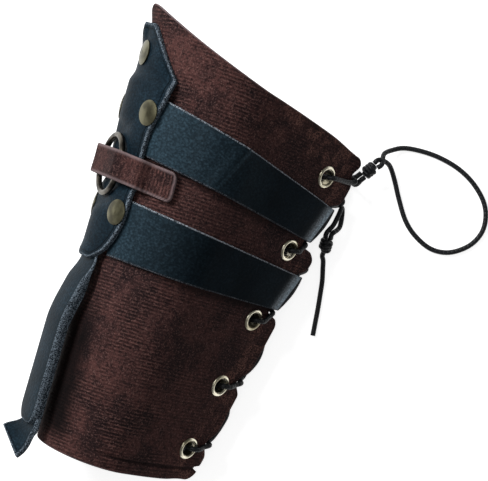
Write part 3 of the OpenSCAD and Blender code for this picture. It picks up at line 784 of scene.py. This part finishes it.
# %% Patterns in the suede
RIB = 1.71
HEM_AT, HEM_FADE = 0.069, 0.00012
suede = Finish("brown_suede", Specular_IOR_Level=0.12, Sheen_Weight=0.05, Sheen_Roughness=0.5)
suede.shader.inputs["Sheen Tint"].default_value = colour(170, 120, 110)
where = suede.place()
uv_map = suede.node("ShaderNodeUVMap", {"uv_map": "leather"})
along_arm, around_arm = suede.numbers(uv_map, 2)
away = around_arm * around_arm
climb = (away + 0.0144) ** 0.5 * 0.113 - 0.062 * away
row = along_arm - climb + suede.noise(where, 110, 4) * 0.01
rib = (row * (2 * math.pi * 100 / RIB)).sine() * 0.5 + 0.5
dash = suede.noise(suede.stretched(uv_map, (62, 38, 1)), 1.0, 3, 0.6)
blotch = suede.noise(where, 46, 6, 0.66, 0.5).step(0.46, 0.63)
cloud = suede.noise(where, 15, 3, 0.5).step(0.35, 0.7)
nap = suede.noise(where, 1300, 2, 0.7)
mottle = suede.noise(where, 360, 4, 0.75).step(0.44, 0.62)
speck = suede.noise(where, 800, 2, 0.6).step(0.5, 0.7)
plain = 1 - suede.noise(where, 55, 3, 0.5).step(0.4, 0.62) * 0.8
plain = plain * (1 - 0.5 * away.step(0.05, 0.9))
print("suede ribs every", RIB, "mm")

# %% [markdown]
# ## Wear and painted shade on the suede
# Use leaves its marks in places that can be named: the cut edge turns pale and the laced edges are
# rubbed. Shade is painted in too: in the groove of the hem, beside the plate and under each strap's
# edge towards the wrist. Each mark is a mask between 0 and 1.

# %% Wear and painted shade on the suede
LOWER_EDGE, UPPER_EDGE, UPPER_SLOPE = 0.978, 1.505, 0.107
inset = suede.kept("inset")
worn = 1 - (inset + (nap - 0.5) * 0.6).step(0.2, 0.9)
rubbed = suede.noise(where, 110, 3, 0.6).step(0.45, 0.62)
rubbed = rubbed * (1 - inset.step(9, 22)) * away.step(0.5, 0.8)
# Painted shade in the hem's groove.
hem = along_arm - HEM_AT
hem = (1 - (hem * hem).step(0.0, HEM_FADE)) * away.step(0.02, 0.3)
# Painted shadow of the plate on the suede beside it.
shaded = 1 - (away ** 0.5).step(0.13, 0.25)
shaded = shaded * (1 - along_arm.step(0.55, 0.85)) * along_arm.step(0.02, 0.12)
# Painted shadow under the wrist-side edge of each strap.
strap_shadow_share = along_arm.step(LOWER_EDGE - 0.038, LOWER_EDGE) * (1 - along_arm.step(1.1, 1.2))
strap_shadow_share = strap_shadow_share * away.step(0.02, 0.5) * 0.75
slant = along_arm + UPPER_SLOPE * away ** 0.5
strap_shadow_share = strap_shadow_share + slant.step(UPPER_EDGE - 0.03, UPPER_EDGE) * (1 - slant.step(1.52, 1.6)) * 0.5
print("the hem lies", HEM_AT * 100, "mm from the wrist edge")

# %% [markdown]
# ## Colours of the suede
# Dye, stains, wear and painted shade lie over each other like coats of paint, so the colour is built in
# that order: each mask blends one more colour over what is already there.

# %% Colours of the suede
BROWN, DEEP_BROWN, SHADED_SIDE_BROWN = colour(86, 56, 53), colour(70, 47, 46), colour(27, 20, 22)
MOTTLE, BLOTCH, SPECK = colour(26, 19, 22), colour(24, 19, 22), colour(18, 14, 17)
RIB_GAP, RIB_TOP, NAP = colour(18, 12, 14), colour(150, 108, 100), colour(146, 110, 104)
RUBBED, CUT_SUEDE, HEM_GROOVE_SHADE = colour(140, 100, 90), colour(150, 132, 134), colour(16, 11, 13)
PLATE_SHADOW, STRAP_SHADOW = colour(8, 7, 8), colour(14, 10, 12)
SUEDE_COATS = [
    # Painted shade on the cuff's sides, away from the guard.
    (away.step(0.1, 1.4) * 0.55, SHADED_SIDE_BROWN),
    (mottle * 0.65, MOTTLE),
    (blotch * 0.75, BLOTCH),
    ((1 - rib.step(0.05, 0.8)) * plain * (0.3 + 0.6 * dash), RIB_GAP),
    (rib.step(0.5, 1.0) * dash.step(0.42, 0.7) * 0.4 * plain, RIB_TOP),
    (speck * 0.65, SPECK),
    (nap.step(0.52, 0.72) * 0.44, NAP),
    (rubbed * nap.step(0.42, 0.6) * 0.65, RUBBED),
    # Painted shade in the hem's groove.
    (hem * 0.75, HEM_GROOVE_SHADE),
    # Painted shadow of the plate.
    (shaded * 0.92, PLATE_SHADOW),
    # Painted shadow under the straps' edges.
    (strap_shadow_share, STRAP_SHADOW),
    (worn * (0.25 + 0.6 * nap), CUT_SUEDE),
]
tone = suede.blend(cloud, BROWN, DEEP_BROWN)
for share, shade in SUEDE_COATS:
    tone = suede.blend(share, tone, shade)
suede.set(
    Base_Color=tone,
    Roughness=0.84 + 0.12 * nap,
    Normal=suede.relief(rib * plain * 0.6 + dash * 0.35 + nap * 0.5 - speck * 0.3 - hem, 0.00035))
print("coats of colour on the suede:", len(SUEDE_COATS) + 1)

# %% [markdown]
# ## Cuff
# The cuff is one skin, and a grid that is bent round the arm keeps it in one piece with a true
# thickness. Its border has rounded corners and a slot for each strap fold, with the suede bulging
# in a round lobe between them. A hem line is pressed in along the wrist, and the suede puffs up a
# little round each eyelet.

# %% Cuff
ROW_SPAN, COLUMN_SPAN, CORNER = 190.0, 270.0, 7.0
SLOT_WRIST, SLOT_ELBOW, LOBE_R, LOBE_RISE = 2.4, 0.6, 7, 2
MID_BULGE, MID_WIDTH = 1.3, 6
HEM_DEPTH, HEM_WIDTH = 0.8, 0.9
PUFF, PUFF_AT, PUFF_WIDTH = 0.45, 9.5, 2.6


def corner_cut(t):
    inside = np.clip(1 - t / CORNER, 0, 1)
    return CORNER * (1 - np.sqrt(1 - inside * inside))


def cuff_border(x):
    edge = laced_edge(x) - corner_cut(x - wrist_edge(1)) - corner_cut(elbow_edge(1) - x)
    for strap in (LOWER, UPPER):
        beside, half = x - strap.lace_x, strap.lace_w / 2
        past = np.maximum(beside - half - SLOT_ELBOW, -beside - half - SLOT_WRIST)
        lobe = np.sqrt(1 - (1 - np.clip(past / LOBE_R, 0, 1)) ** 2) * smooth(past / LOBE_RISE)
        edge = np.minimum(edge, mix(strap.fold(x) - LACE_R - 0.5, edge, lobe))
    return edge + MID_BULGE * bell(x - (LOWER.lace_x + UPPER.lace_x) / 2 + 1.5, MID_WIDTH)


def make_cuff():
    half = COLUMN_SPAN / 2
    rows, columns = grid_lines(ROW_SPAN, 1.15)[:, None], grid_lines(COLUMN_SPAN, 1.75)[None, :] - half
    q = columns / half
    low, high = wrist_edge(q), elbow_edge(q)
    x = mix(low + BORDER, high - BORDER, (rows - BORDER) / (ROW_SPAN - 2 * BORDER))
    x = np.where(rows > ROW_SPAN - BORDER, high - (ROW_SPAN - rows), x)
    x = np.where(rows < BORDER, low + rows, x)
    border, plain = cuff_border(x), half_girth(x) - BORDER
    inward, share = half - np.abs(columns), np.abs(columns) / (half - BORDER)
    out = share * plain + (border - BORDER - plain) * smooth((share - 0.8) / 0.2)
    d = np.sign(columns) * np.where(inward < BORDER, border - inward, out)
    inset = np.minimum(np.minimum(rows, ROW_SPAN - rows), inward)
    gaps = [np.hypot(x - e, np.abs(d) - o) for e, o in zip(EYELETS, EYELET_OUT)]
    hem = -HEM_DEPTH * bell(x - low - HEM_AT * 100, HEM_WIDTH) * smooth((np.abs(q) - 0.1) / 0.5)
    puff = PUFF * bell(np.min(gaps, axis=0) - PUFF_AT, PUFF_WIDTH) + hem
    fall = rounding(inset, 0.8)
    return shell("suede_cuff", leather_point(x, d, puff - fall),
                 leather_point(x, d, fall + hem * 0.3 - CUFF_T), inset, leather_map(x - low, d), suede)


cuff = make_cuff()
print("flat span of the cuff, mm:", ROW_SPAN, COLUMN_SPAN)

# %% [markdown]
# ## Eyelet holes
# On the bench a punch cuts the holes. Here a boolean does the same with ten round pins, each set
# square to the leather at its eyelet, so that the holes stay round on the bent skin.

# %% Punch the eyelet holes
HOLE_R, PIN_L = 4.6, 12.0


def punch(piece, spots, size):
    """Cuts round holes of this radius through the piece, each at a place with a direction."""
    pins = bmesh.new()
    for spot, way in spots:
        turn_to = Vector(way).to_track_quat("Z", "Y").to_matrix().to_4x4()
        bmesh.ops.create_cone(pins, cap_ends=True, segments=40, radius1=size, radius2=size,
                              depth=PIN_L * MM, matrix=Matrix.Translation(Vector(spot)) @ turn_to)
    mesh = bpy.data.meshes.new("pins")
    pins.to_mesh(mesh)
    pins.free()
    cutter = bpy.data.objects.new("pins", mesh)
    bpy.context.scene.collection.objects.link(cutter)
    cut = piece.modifiers.new("punch", "BOOLEAN")
    cut.operation, cut.object, cut.solver = "DIFFERENCE", cutter, "EXACT"
    bpy.context.view_layer.update()
    graph = bpy.context.evaluated_depsgraph_get()
    punched = bpy.data.meshes.new_from_object(piece.evaluated_get(graph))
    piece.modifiers.remove(cut)
    piece.data = punched
    bpy.data.objects.remove(cutter)
    print(piece.name, "faces after punching:", len(punched.polygons))


def skin_way(x, d):
    """Direction out of the leather at a point."""
    a = leather_point(x + 0.5, d, 0) - leather_point(x - 0.5, d, 0)
    b = leather_point(x, d + 0.5, 0) - leather_point(x, d - 0.5, 0)
    return unit(np.cross(a.reshape(3), b.reshape(3)))


punch(cuff, [(leather_point(e, side * o, 0).reshape(3), skin_way(e, side * o))
             for side in (1, -1) for e, o in zip(EYELETS, EYELET_OUT)], HOLE_R * MM)
stand_for(cuff, "cuff")

# %% [markdown]
# ## Light on a strap
# Light and shade are painted into a strap's colour. Where it leaves the guard it gets a painted
# highlight, with a little clear coat, and the crease across the upper pair gets a painted highlight
# too. Where it folds round the lace it has a painted bright line, with more coat, and painted shade
# behind it, and its cut edge is painted darker towards the wrist, as if in shade. Its UV map tells
# where that is: the first number runs across it, with 1 added on the upper pair, and the second reaches
# 1 at the fold.

# %% Light on a strap
FOLD_HIGHLIGHT, FOLD_SHADE = colour(226, 236, 246), colour(5, 7, 10)


def strap_light(made, uv, tone, highlight_tone):
    """Gives the strap's colour with its painted highlights and painted shade, the weight of its coat
    and how pale its cut edge is.
    """
    over_it, to_fold = made.numbers(uv, 2)
    upper, ridge = over_it.step(0.7, 0.9), to_fold - 0.32 * over_it + 0.084
    # Painted highlight by the guard, where the strap leaves it.
    near = (0.84 + 0.16 * upper) * (1 - to_fold.step(-0.32, 0.48 + 0.14 * upper))
    # Painted bright line just before the fold.
    bent = to_fold.step(0.9, 1.0) ** 2 * (1 - to_fold.step(1.0, 1.006))
    # Painted highlight along the crease of the upper pair.
    crease_highlight = upper * (1 - (ridge * ridge).step(0.0, 0.0002))
    # Painted highlights first, then painted shade past the fold.
    for share, shade in ((near, highlight_tone), (crease_highlight * 0.5, highlight_tone), (bent * 0.9, FOLD_HIGHLIGHT),
                         (to_fold.step(1.0, 1.01) * 0.85, FOLD_SHADE)):
        tone = made.blend(share, tone, shade)
    # The cut edge is painted darker towards the wrist, as if in shade.
    return tone, near * 0.3 + bent * 0.6, 0.3 + 0.7 * (over_it - upper).step(0.05, 0.2)


print("a strap is brightest at its fold:", [round(c, 2) for c in FOLD_HIGHLIGHT[:3]])

# %% [markdown]
# ## Black leather
# The straps are smooth dyed leather, blue-black, with a fine creased grain that only shows in the
# soft wide highlight. The guard pieces are the same leather, pressed hard: a little bluer, with a
# line pressed along the border. Cut edges are pale, open and grainy. One function makes both
# finishes from the distance to the border, so each edge is worn all along.

# %% Strap and guard finishes
GRAIN_GAP, CUT_PORE, GROOVE = colour(7, 11, 15), colour(13, 19, 25), colour(5, 8, 11)


def black_leather(name, face, light, edge, band, groove=None, highlight_tone=None):
    """Dyed leather whose cut edge is this colour, over a border this wide in mm."""
    made = Finish(name, Specular_IOR_Level=0.03, Coat_Roughness=0.36, Coat_IOR=1.4)
    made.shader.inputs["Specular Tint"].default_value = colour(170, 215, 240)
    made.shader.inputs["Coat Tint"].default_value = colour(200, 228, 240)
    spot = made.place()
    uv = made.node("ShaderNodeUVMap", {"uv_map": "leather"})
    inset = made.kept("inset")
    crease = made.cells(made.stretched(uv, (88, 60, 1)), 1.0)
    fine = made.noise(spot, 900, 3, 0.65)
    wave = made.noise(spot, 60, 3, 0.5)
    fibre = made.noise(spot, 1800, 2, 0.7)
    cut = 1 - (inset + (fibre - 0.5) * 0.7 * band).step(0.6 * band, band)
    tone = made.blend(wave.step(0.3, 0.7), face, light)
    coat, pale = 0.05, 1.0
    # Straps take their painted highlights and painted shade from strap_light.
    if highlight_tone:
        tone, coat, pale = strap_light(made, uv, tone, highlight_tone)
    grain = (1 - crease.step(0.1, 0.6)) * 0.5 + fine.step(0.4, 0.66) * 0.5
    tone = made.blend((1 - grain) * 0.7, tone, GRAIN_GAP)
    tone = made.blend(cut, tone, made.blend(fibre.step(0.4, 0.66) * pale, CUT_PORE, edge))
    height = fine * 0.4 + (1 - crease) * 0.6 + cut * (fibre - 0.5) * 1.6
    if groove:
        line = inset - groove
        line = 1 - (line * line).step(0.0, 0.12)
        tone = made.blend(line * 0.75, tone, GROOVE)
        height = height - line * 1.2
    made.set(
        Base_Color=tone,
        Roughness=0.5 + 0.12 * fine + 0.3 * cut,
        Coat_Weight=coat,
        Normal=made.relief(height, 0.00022))
    return made


# The straps' highlight colour is a painted highlight.
strap_finish = black_leather("black_strap", face=colour(14, 22, 27), light=colour(24, 35, 43),
                             edge=colour(190, 196, 206), band=0.9, highlight_tone=colour(68, 90, 103))
guard_finish = black_leather("black_guard", face=colour(25, 40, 50), light=colour(38, 56, 68),
                             edge=colour(132, 145, 157), band=1.8, groove=2.8)
print("leather finishes:", strap_finish.material.name, guard_finish.material.name)

# %% [markdown]
# ## Straps
# Each strap starts under the cover, narrows towards the lacing, and folds back on itself round the
# lace, pared thinner where it folds. The turn is tight at both sides of the strap and stands out
# loosely in its middle, and a crease crosses the upper pair. One grid follows the strap over the
# fold to its hidden end, so the surface stays whole there.

# %% Straps
FOLD_LOOSE = 3.2
CREASE_AT, CREASE_SLANT, CREASE_WIDTH = 49.0, 8.0, 3.2


def strap_thick(d):
    return mix(STRAP_PARED, STRAP_T, smooth((np.abs(d) - STRAP_INNER) / PARED_RUN))


def make_strap(name, strap, side):
    run, turn_length = strap.reach - STRAP_INNER, math.pi * (FOLD_R + FOLD_T / 2)
    total, wide = run + turn_length + FOLD_FLAP, (strap.guard_w + strap.lace_w) / 2
    rows = grid_lines(total, 1.3)[:, None]
    across_it = grid_lines(wide, 1.0)[None, :]
    share, t = across_it / wide - 0.5, np.clip(rows / run, 0, 1)
    x = mix(strap.guard_x, strap.lace_x, t) + share * mix(strap.guard_w, strap.lace_w, t)
    end = strap.fold(strap.lace_x + share * strap.lace_w)
    angle = np.clip((rows - run) / turn_length, 0, 1) * math.pi
    back = np.maximum(0, rows - run - turn_length)
    thick = mix(strap_thick(STRAP_INNER + rows), FOLD_T, smooth((rows - run + 12) / 12))
    inset = from_border(rows, total, across_it, wide)
    fall = rounding(inset, 0.6)
    crease = strap.crease * bell(rows - CREASE_AT - CREASE_SLANT * share, CREASE_WIDTH)
    loose = FOLD_LOOSE * (1 - 4 * share * share) * np.sin(angle)

    def layer(height):
        r = FOLD_R + height + crease
        d = np.where(rows < run, mix(STRAP_INNER, end, t), end + (r + loose) * np.sin(angle) - back)
        return leather_point(x, side * d, FOLD_H + r * np.cos(angle))

    uv = leather_map(across_it + 100 * strap.crease, 100 + rows - run)
    return shell(name, layer(thick - fall), layer(fall), inset, uv, strap_finish)


for label, strap in (("lower", LOWER), ("upper", UPPER)):
    for hand, side in (("near", 1), ("far", -1)):
        piece = make_strap(f"{label}_{hand}_strap", strap, side)
        stand_for(piece, f"strap_{label}_{hand}")

# %% [markdown]
# ## Guard plate
# The plate is a stiff slat that stands off the cuff at the wrist and drops towards the cover, where
# it is pared thin. It is a flat grid with a slight crown, whose width follows the two round ends.

# %% Guard plate
PLATE_T, PLATE_SKIVED, PLATE_HALF, PLATE_CROWN = 4.0, 1.9, 12.0, 4.0
SKIVE_START, SKIVE_RUN = 22, 12
STAND_OFF, DROP_START, DROP_RUN = 6.8, 46, 40
PLATE_DROP = STAND_OFF - 0.3
WRIST_ROUND, ELBOW_ROUND, ROUND_SPARE = 9, 14, 1.2
EDGE_SHARE = 1.6


def plate_rise(x):
    return STAND_OFF - PLATE_DROP * smooth((x - PLATE_TO + DROP_START) / DROP_RUN)


def round_end(t):
    inside = 1 - np.clip(t, 0, 1)
    return np.sqrt(1 - inside * inside)


def plate_width(x):
    wrist_end = round_end((x - PLATE_FROM + ROUND_SPARE) / WRIST_ROUND)
    return PLATE_HALF * wrist_end * round_end((PLATE_TO - x + ROUND_SPARE) / ELBOW_ROUND)


def make_plate():
    span = PLATE_TO - PLATE_FROM
    rows = grid_lines(span, 1.1)[:, None]
    across_it = grid_lines(2 * PLATE_HALF, 0.9)[None, :]
    x, q = PLATE_FROM + rows, across_it / PLATE_HALF - 1
    inset = from_border(rows, span, across_it, 2 * PLATE_HALF)
    fall = rounding(inset, 0.5)
    crown = (1 - np.sqrt(1 - (0.6 * q) ** 2)) * PLATE_CROWN
    thick = mix(PLATE_T, PLATE_SKIVED, smooth((x - PLATE_TO + SKIVE_START) / SKIVE_RUN))
    lift, v = radius(x) + plate_rise(x), q * plate_width(x)
    return shell("guard_slat", flat_point(x, lift + thick - crown - fall, v),
                 flat_point(x, lift + fall * 0.5, v), inset * EDGE_SHARE,
                 leather_map(rows, across_it), guard_finish)


stand_for(make_plate(), "guard_plate")

# %% [markdown]
# ## Strip and tab
# A strip is glued under the plate, and past the plate's end it curls out as a tab that turns slowly
# in the air. A curve of four points carries the tab's middle line, and the direction across it is
# turned a little at each row, as a bent and twisted ribbon is.

# %% Strip and tab
STRIP_HALF, STRIP_T, STRIP_SKIVED, STRIP_SEAT, TAB_FREE = 11.0, 2.8, 0.8, 0.25, 18.0
STRIP_SHORTER, STRIP_SKIVE_RUN = 12, 16
TAB_TIP = np.array([-12.5, 6.9, 0.7]) * MM
TAB_LEAVES, TAB_ARRIVES = np.array([-5, 2.4, 0]) * MM, np.array([4.5, -3.3, 0]) * MM
TAB_SIDE = unit([-0.45, -0.58, 0.68])


def unit_rows(v):
    return v / np.linalg.norm(v, axis=-1, keepdims=True)


def tab_curve(root, t):
    """Points and directions along the free end, from the plate's end to the tip."""
    tip = root + TAB_TIP
    first, second, s = root + TAB_LEAVES, tip + TAB_ARRIVES, 1 - t
    curve = s ** 3 * root + 3 * t * s ** 2 * first + 3 * t * t * s * second + t ** 3 * tip
    way = 3 * s ** 2 * (first - root) + 6 * t * s * (second - first) + 3 * t * t * (tip - second)
    return curve, unit_rows(way)


def make_strip():
    top = PLATE_TO - STRIP_SHORTER
    straight = top - PLATE_FROM
    total, wide = straight + TAB_FREE, 2 * STRIP_HALF
    rows, across_it = grid_lines(total, 1.1)[:, None, None], grid_lines(wide, 0.9)[None, :, None]
    x = np.maximum(top - rows, PLATE_FROM)
    thick = mix(STRIP_SKIVED, STRIP_T, smooth(rows / STRIP_SKIVE_RUN))
    mid = flat_point(x, radius(x) + plate_rise(x) - STRIP_SEAT - thick / 2, 0 * x)[:, :, 0]
    t = np.clip((rows - straight) / TAB_FREE, 0, 1)
    curve, way = tab_curve(mid[-1, 0], t)
    side = mix(np.array([0, -math.sin(SIDE), math.cos(SIDE)]), TAB_SIDE, smooth(t))
    side = unit_rows(side - (side * way).sum(-1, keepdims=True) * way)
    flat_out = np.array([0, math.cos(SIDE), math.sin(SIDE)])
    out = np.where(rows < straight, flat_out, np.cross(way, side))
    inset = from_border(rows, total, across_it, wide)
    half = (thick / 2 - rounding(inset, 0.4)) * MM * out
    line = np.where(rows < straight, mid, curve) + (across_it - STRIP_HALF) * MM * side
    uv = leather_map(rows[:, :, 0], across_it[:, :, 0])
    return shell("guard_strip_and_tab", line + half, line - half, inset[:, :, 0] * EDGE_SHARE, uv,
                 guard_finish)


stand_for(make_strip(), "guard_strip")

# %% [markdown]
# ## Cover
# The cover is a leaf of leather, pressed wet over the straps and left to dry. So it rises over each
# pair, sinks between them where the ring lies and bulges over the plate's end. Its height is worked
# out from the straps' own thickness, so the cover can't cut through what it covers.

# %% Cover
COVER_HALF, COVER_SHOULDER, COVER_TOP_HALF = 22.0, 5.7, 4.5
COVER_ROUND, SHOULDER_RUN, TIP_SLOPE = 30, 30, 1.02
COVER_INSET, COVER_SPREAD = 0.8, 54.0
STEP_OUT, STEP_RUN, COVER_REST = 1.8, 7, 0.25
RIDGE, RIDGE_WIDTH = 0.7, 10
BULGE, BULGE_WIDTH, BULGE_RUN = 1.4, 14, 9
CURL, CURL_START, CURL_RUN = 1.7, 13, 10


def cover_width(x):
    shoulder = COVER_SHOULDER * smooth((x - UPPER.guard_x + 10) / SHOULDER_RUN)
    body = COVER_HALF * round_end((x - COVER_FROM) / COVER_ROUND) + shoulder
    return np.minimum(body, COVER_TOP_HALF + (COVER_TO - x) * TIP_SLOPE)


def over_strap(strap, x):
    return 1 - smooth((np.abs(x - strap.guard_x) - strap.guard_w / 2 - STEP_OUT) / STEP_RUN)


def cover_under(x, d):
    over = np.maximum(over_strap(LOWER, x), over_strap(UPPER, x))
    step = strap_thick(d) + STRAP_SEAT + COVER_REST
    clear_of_ring = smooth((np.abs(x - KEEPER_X) - RING_D / 2 - 2) / STEP_RUN)
    pillow = step * over * np.maximum(smooth((np.abs(d) - 1) / 13), clear_of_ring)
    pillow = pillow + RIDGE * over * clear_of_ring * bell(d, RIDGE_WIDTH)
    pillow = pillow + BULGE * (1 - smooth((x - COVER_FROM) / BULGE_RUN)) * bell(d, BULGE_WIDTH)
    curl = CURL * smooth((x - COVER_TO + CURL_START) / CURL_RUN) * smooth((-d - 1) / 5)
    return flare(x, d) - waist(x, d) + SEAT + pillow + curl


def make_cover():
    span, wide = COVER_TO - COVER_FROM - COVER_INSET, COVER_SPREAD
    rows, across_it = grid_lines(span, 0.9)[:, None], grid_lines(wide, 0.8)[None, :]
    x, q = COVER_FROM + COVER_INSET + rows, across_it / wide * 2 - 1
    d = q * cover_width(x)
    to_side = np.minimum(across_it, wide - across_it) * np.minimum(1, cover_width(x) / (wide / 2))
    inset = np.minimum(np.minimum(rows, span - rows), to_side)
    fall = rounding(inset, 0.6)
    under = cover_under(x, d)
    return shell("guard_leaf", section_point(x, d, under + COVER_T - fall),
                 section_point(x, d, under + fall * 0.4), inset, leather_map(rows, d), guard_finish)


stand_for(make_cover(), "guard_cover")

# %% [markdown]
# ## Keeper strap
# A short strap of the cuff's brown suede holds the ring. It rises over the ring's wire, steps down
# beside the cover and is glued to the cuff at both ends, where its corners are rounded. The end towards
# the lacing is a little thicker, so that its edge shows. It takes the cuff's finish, on a part of the
# map away from the hem, the plate and the straps, where the painted shade of the cuff's sides darkens
# it a little.

# %% Keeper strap
RING_WIRE, RING_LIFT = 3.0, 2.42
KEEPER_W, KEEPER_T, KEEPER_REACH = 14.5, 2.3, 40.5
FALL_BESIDE_RING, FALL_TO_CUFF = 7, 5.5
END_THICKER, CORNER_ROUND = 0.9, 2.2


def keeper_under(x, d):
    top = radius(x) + COVER_T + 2 * SEAT + RING_LIFT + RING_WIRE / 2
    a0 = np.arctan((RING_D / 2 - 0.5) / top)
    d0, h0 = a0 * radius(x), top / np.cos(a0) - radius(x)
    flange = COVER_T + STRAP_T + STRAP_SEAT + 3 * SEAT
    low, away = cover_width(x) + 1, np.abs(d)
    over_ring = top / np.cos(np.minimum(away / radius(x), a0)) - radius(x)
    side = mix(h0, flange, smooth((away - d0) / FALL_BESIDE_RING))
    foot = mix(flange, SEAT, smooth((away - low) / FALL_TO_CUFF))
    return np.where(away <= d0, over_ring, np.where(away <= low, side, foot))


def make_keeper():
    rows, across_it = grid_lines(2 * KEEPER_REACH, 0.8)[:, None], grid_lines(KEEPER_W, 0.7)[None, :]
    x, d = KEEPER_X + across_it - KEEPER_W / 2, rows - KEEPER_REACH
    inset = from_border(rows, 2 * KEEPER_REACH, across_it, KEEPER_W)
    fall = rounding(inset, 0.9)
    under = keeper_under(x, d) - waist(x, d)
    thick = KEEPER_T + END_THICKER * smooth((d - KEEPER_REACH + 8) / 5)
    turned = np.abs(across_it / KEEPER_W - 0.5) * 2
    at_end = smooth((np.abs(d) - KEEPER_REACH + 12) / 12)
    d = d - np.sign(d) * CORNER_ROUND * turned ** 6 * at_end
    return shell("keeper_of_ring", section_point(x, d, under + thick - fall),
                 section_point(x, d, under + fall * 0.4), inset * 0.45,
                 leather_map(200 + rows, 60 + across_it), suede)


stand_for(make_keeper(), "keeper_strap")

# %% [markdown]
# ## Metal
# Rivet caps are antique brass, cloudy with darker and paler spots. Eyelets are brighter, nearly
# silver, and the ring is dull steel. All are finely roughened by wear. The solids already have the
# right shape, so they stay and only get a better finish.

# %% Metal finishes


def metal(name, low_tone, high_tone, rough, scratch=0.25):
    made = Finish(name, Metallic=1.0)
    spot = made.place()
    cloudy = made.noise(spot, 170, 3, 0.5)
    fine = made.noise(spot, 1900, 3, 0.6)
    made.set(
        Base_Color=made.blend(cloudy.step(0.3, 0.65), low_tone, high_tone),
        Roughness=rough + scratch * (fine - 0.4) + 0.15 * (0.6 - cloudy),
        Normal=made.relief(fine * 0.5 + cloudy * 0.5, 0.00006))
    return made


rivet_brass = metal("rivet_brass", colour(64, 62, 48), colour(104, 101, 80), 0.34, 0.12)
eyelet_brass = metal("eyelet_brass", colour(168, 160, 134), colour(236, 230, 208), 0.26, 0.15)
ring_steel = metal("ring_steel", colour(46, 43, 39), colour(102, 97, 88), 0.34)
for node, finish in (("rivet_caps", rivet_brass), ("rivet_posts", rivet_brass), ("ring", ring_steel),
                     ("eyelets_near", eyelet_brass), ("eyelets_far", eyelet_brass),
                     ("washers_near", eyelet_brass), ("washers_far", eyelet_brass)):
    for place_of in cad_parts[node].material_slots:
        place_of.material = finish.material
print("metal finishes:", [finish.material.name for finish in (rivet_brass, eyelet_brass, ring_steel)])

# %% [markdown]
# ## Floor
# The photograph has a pure white ground. More light on it would also fall on the leather, so the
# ground glows by itself, but only for camera, glossy and transmission rays. Its diffuse part keeps
# the shadow, so the arm guard doesn't float.

# %% Floor
FLOOR_HALF, FLOOR_AT, FLOOR_GLOW = 4.0, -0.0005, 0.78
floor_mesh = bpy.data.meshes.new("floor")
floor_mesh.from_pydata([(x * FLOOR_HALF, y * FLOOR_HALF, FLOOR_AT)
                        for x, y in ((-1, -1), (1, -1), (1, 1), (-1, 1))], [], [(0, 1, 2, 3)])
floor = bpy.data.objects.new("floor", floor_mesh)
bpy.context.scene.collection.objects.link(floor)
ground = Finish("pale_ground", Roughness=0.9, Specular_IOR_Level=0.1, Emission_Strength=1.0)
ground.shader.inputs["Base Color"].default_value = (0.8, 0.8, 0.8, 1)
seen = ground.node("ShaderNodeLightPath").socket.node
camera_ray, glossy_ray, clear_ray = (
    Field(ground, seen.outputs[f"Is {kind} Ray"]) for kind in ("Camera", "Glossy", "Transmission"))
ground.set(Emission_Color=ground.blend(camera_ray + glossy_ray + clear_ray, (0, 0, 0, 1),
                                       (FLOOR_GLOW, FLOOR_GLOW, FLOOR_GLOW, 1)))
floor_mesh.materials.append(ground.material)
print("the floor glows at", FLOOR_GLOW)

# %% [markdown]
# ## Light
# The photograph has one large soft light from the upper left, so that the side towards the lacing
# falls dark. A disk lamp there gives it, a weaker one over the camera fills in, and a dim white
# world keeps the shadows open.

# %% World and lamps
WORLD_GLOW = 0.16


def lamp(name, way_to, distance, size, share):
    """Disk lamp whose light makes a white sheet that faces it this share of full white."""
    data = bpy.data.lights.new(name, "AREA")
    data.shape, data.size = "DISK", size
    data.energy = share * (math.pi * distance) ** 2
    made = bpy.data.objects.new(name, data)
    bpy.context.scene.collection.objects.link(made)
    way = Vector(way_to).normalized()
    turn_to = way.to_track_quat("Z", "Y").to_matrix().to_4x4()
    made.matrix_world = Matrix.Translation(way * distance) @ turn_to
    return made


world = bpy.data.worlds.new("studio")
bpy.context.scene.world = world
world.use_nodes = True
world.node_tree.nodes["Background"].inputs["Color"].default_value = (1, 1, 1, 1)
world.node_tree.nodes["Background"].inputs["Strength"].default_value = WORLD_GLOW
lamp("key", -0.75 * RIGHT + 0.8 * UP + Vector((0, 0, 1.0)), distance=1.1, size=0.5, share=0.88)
lamp("top", (0, 0, 1), distance=1.4, size=0.6, share=0.1)
bpy.context.scene.view_settings.view_transform = "Standard"
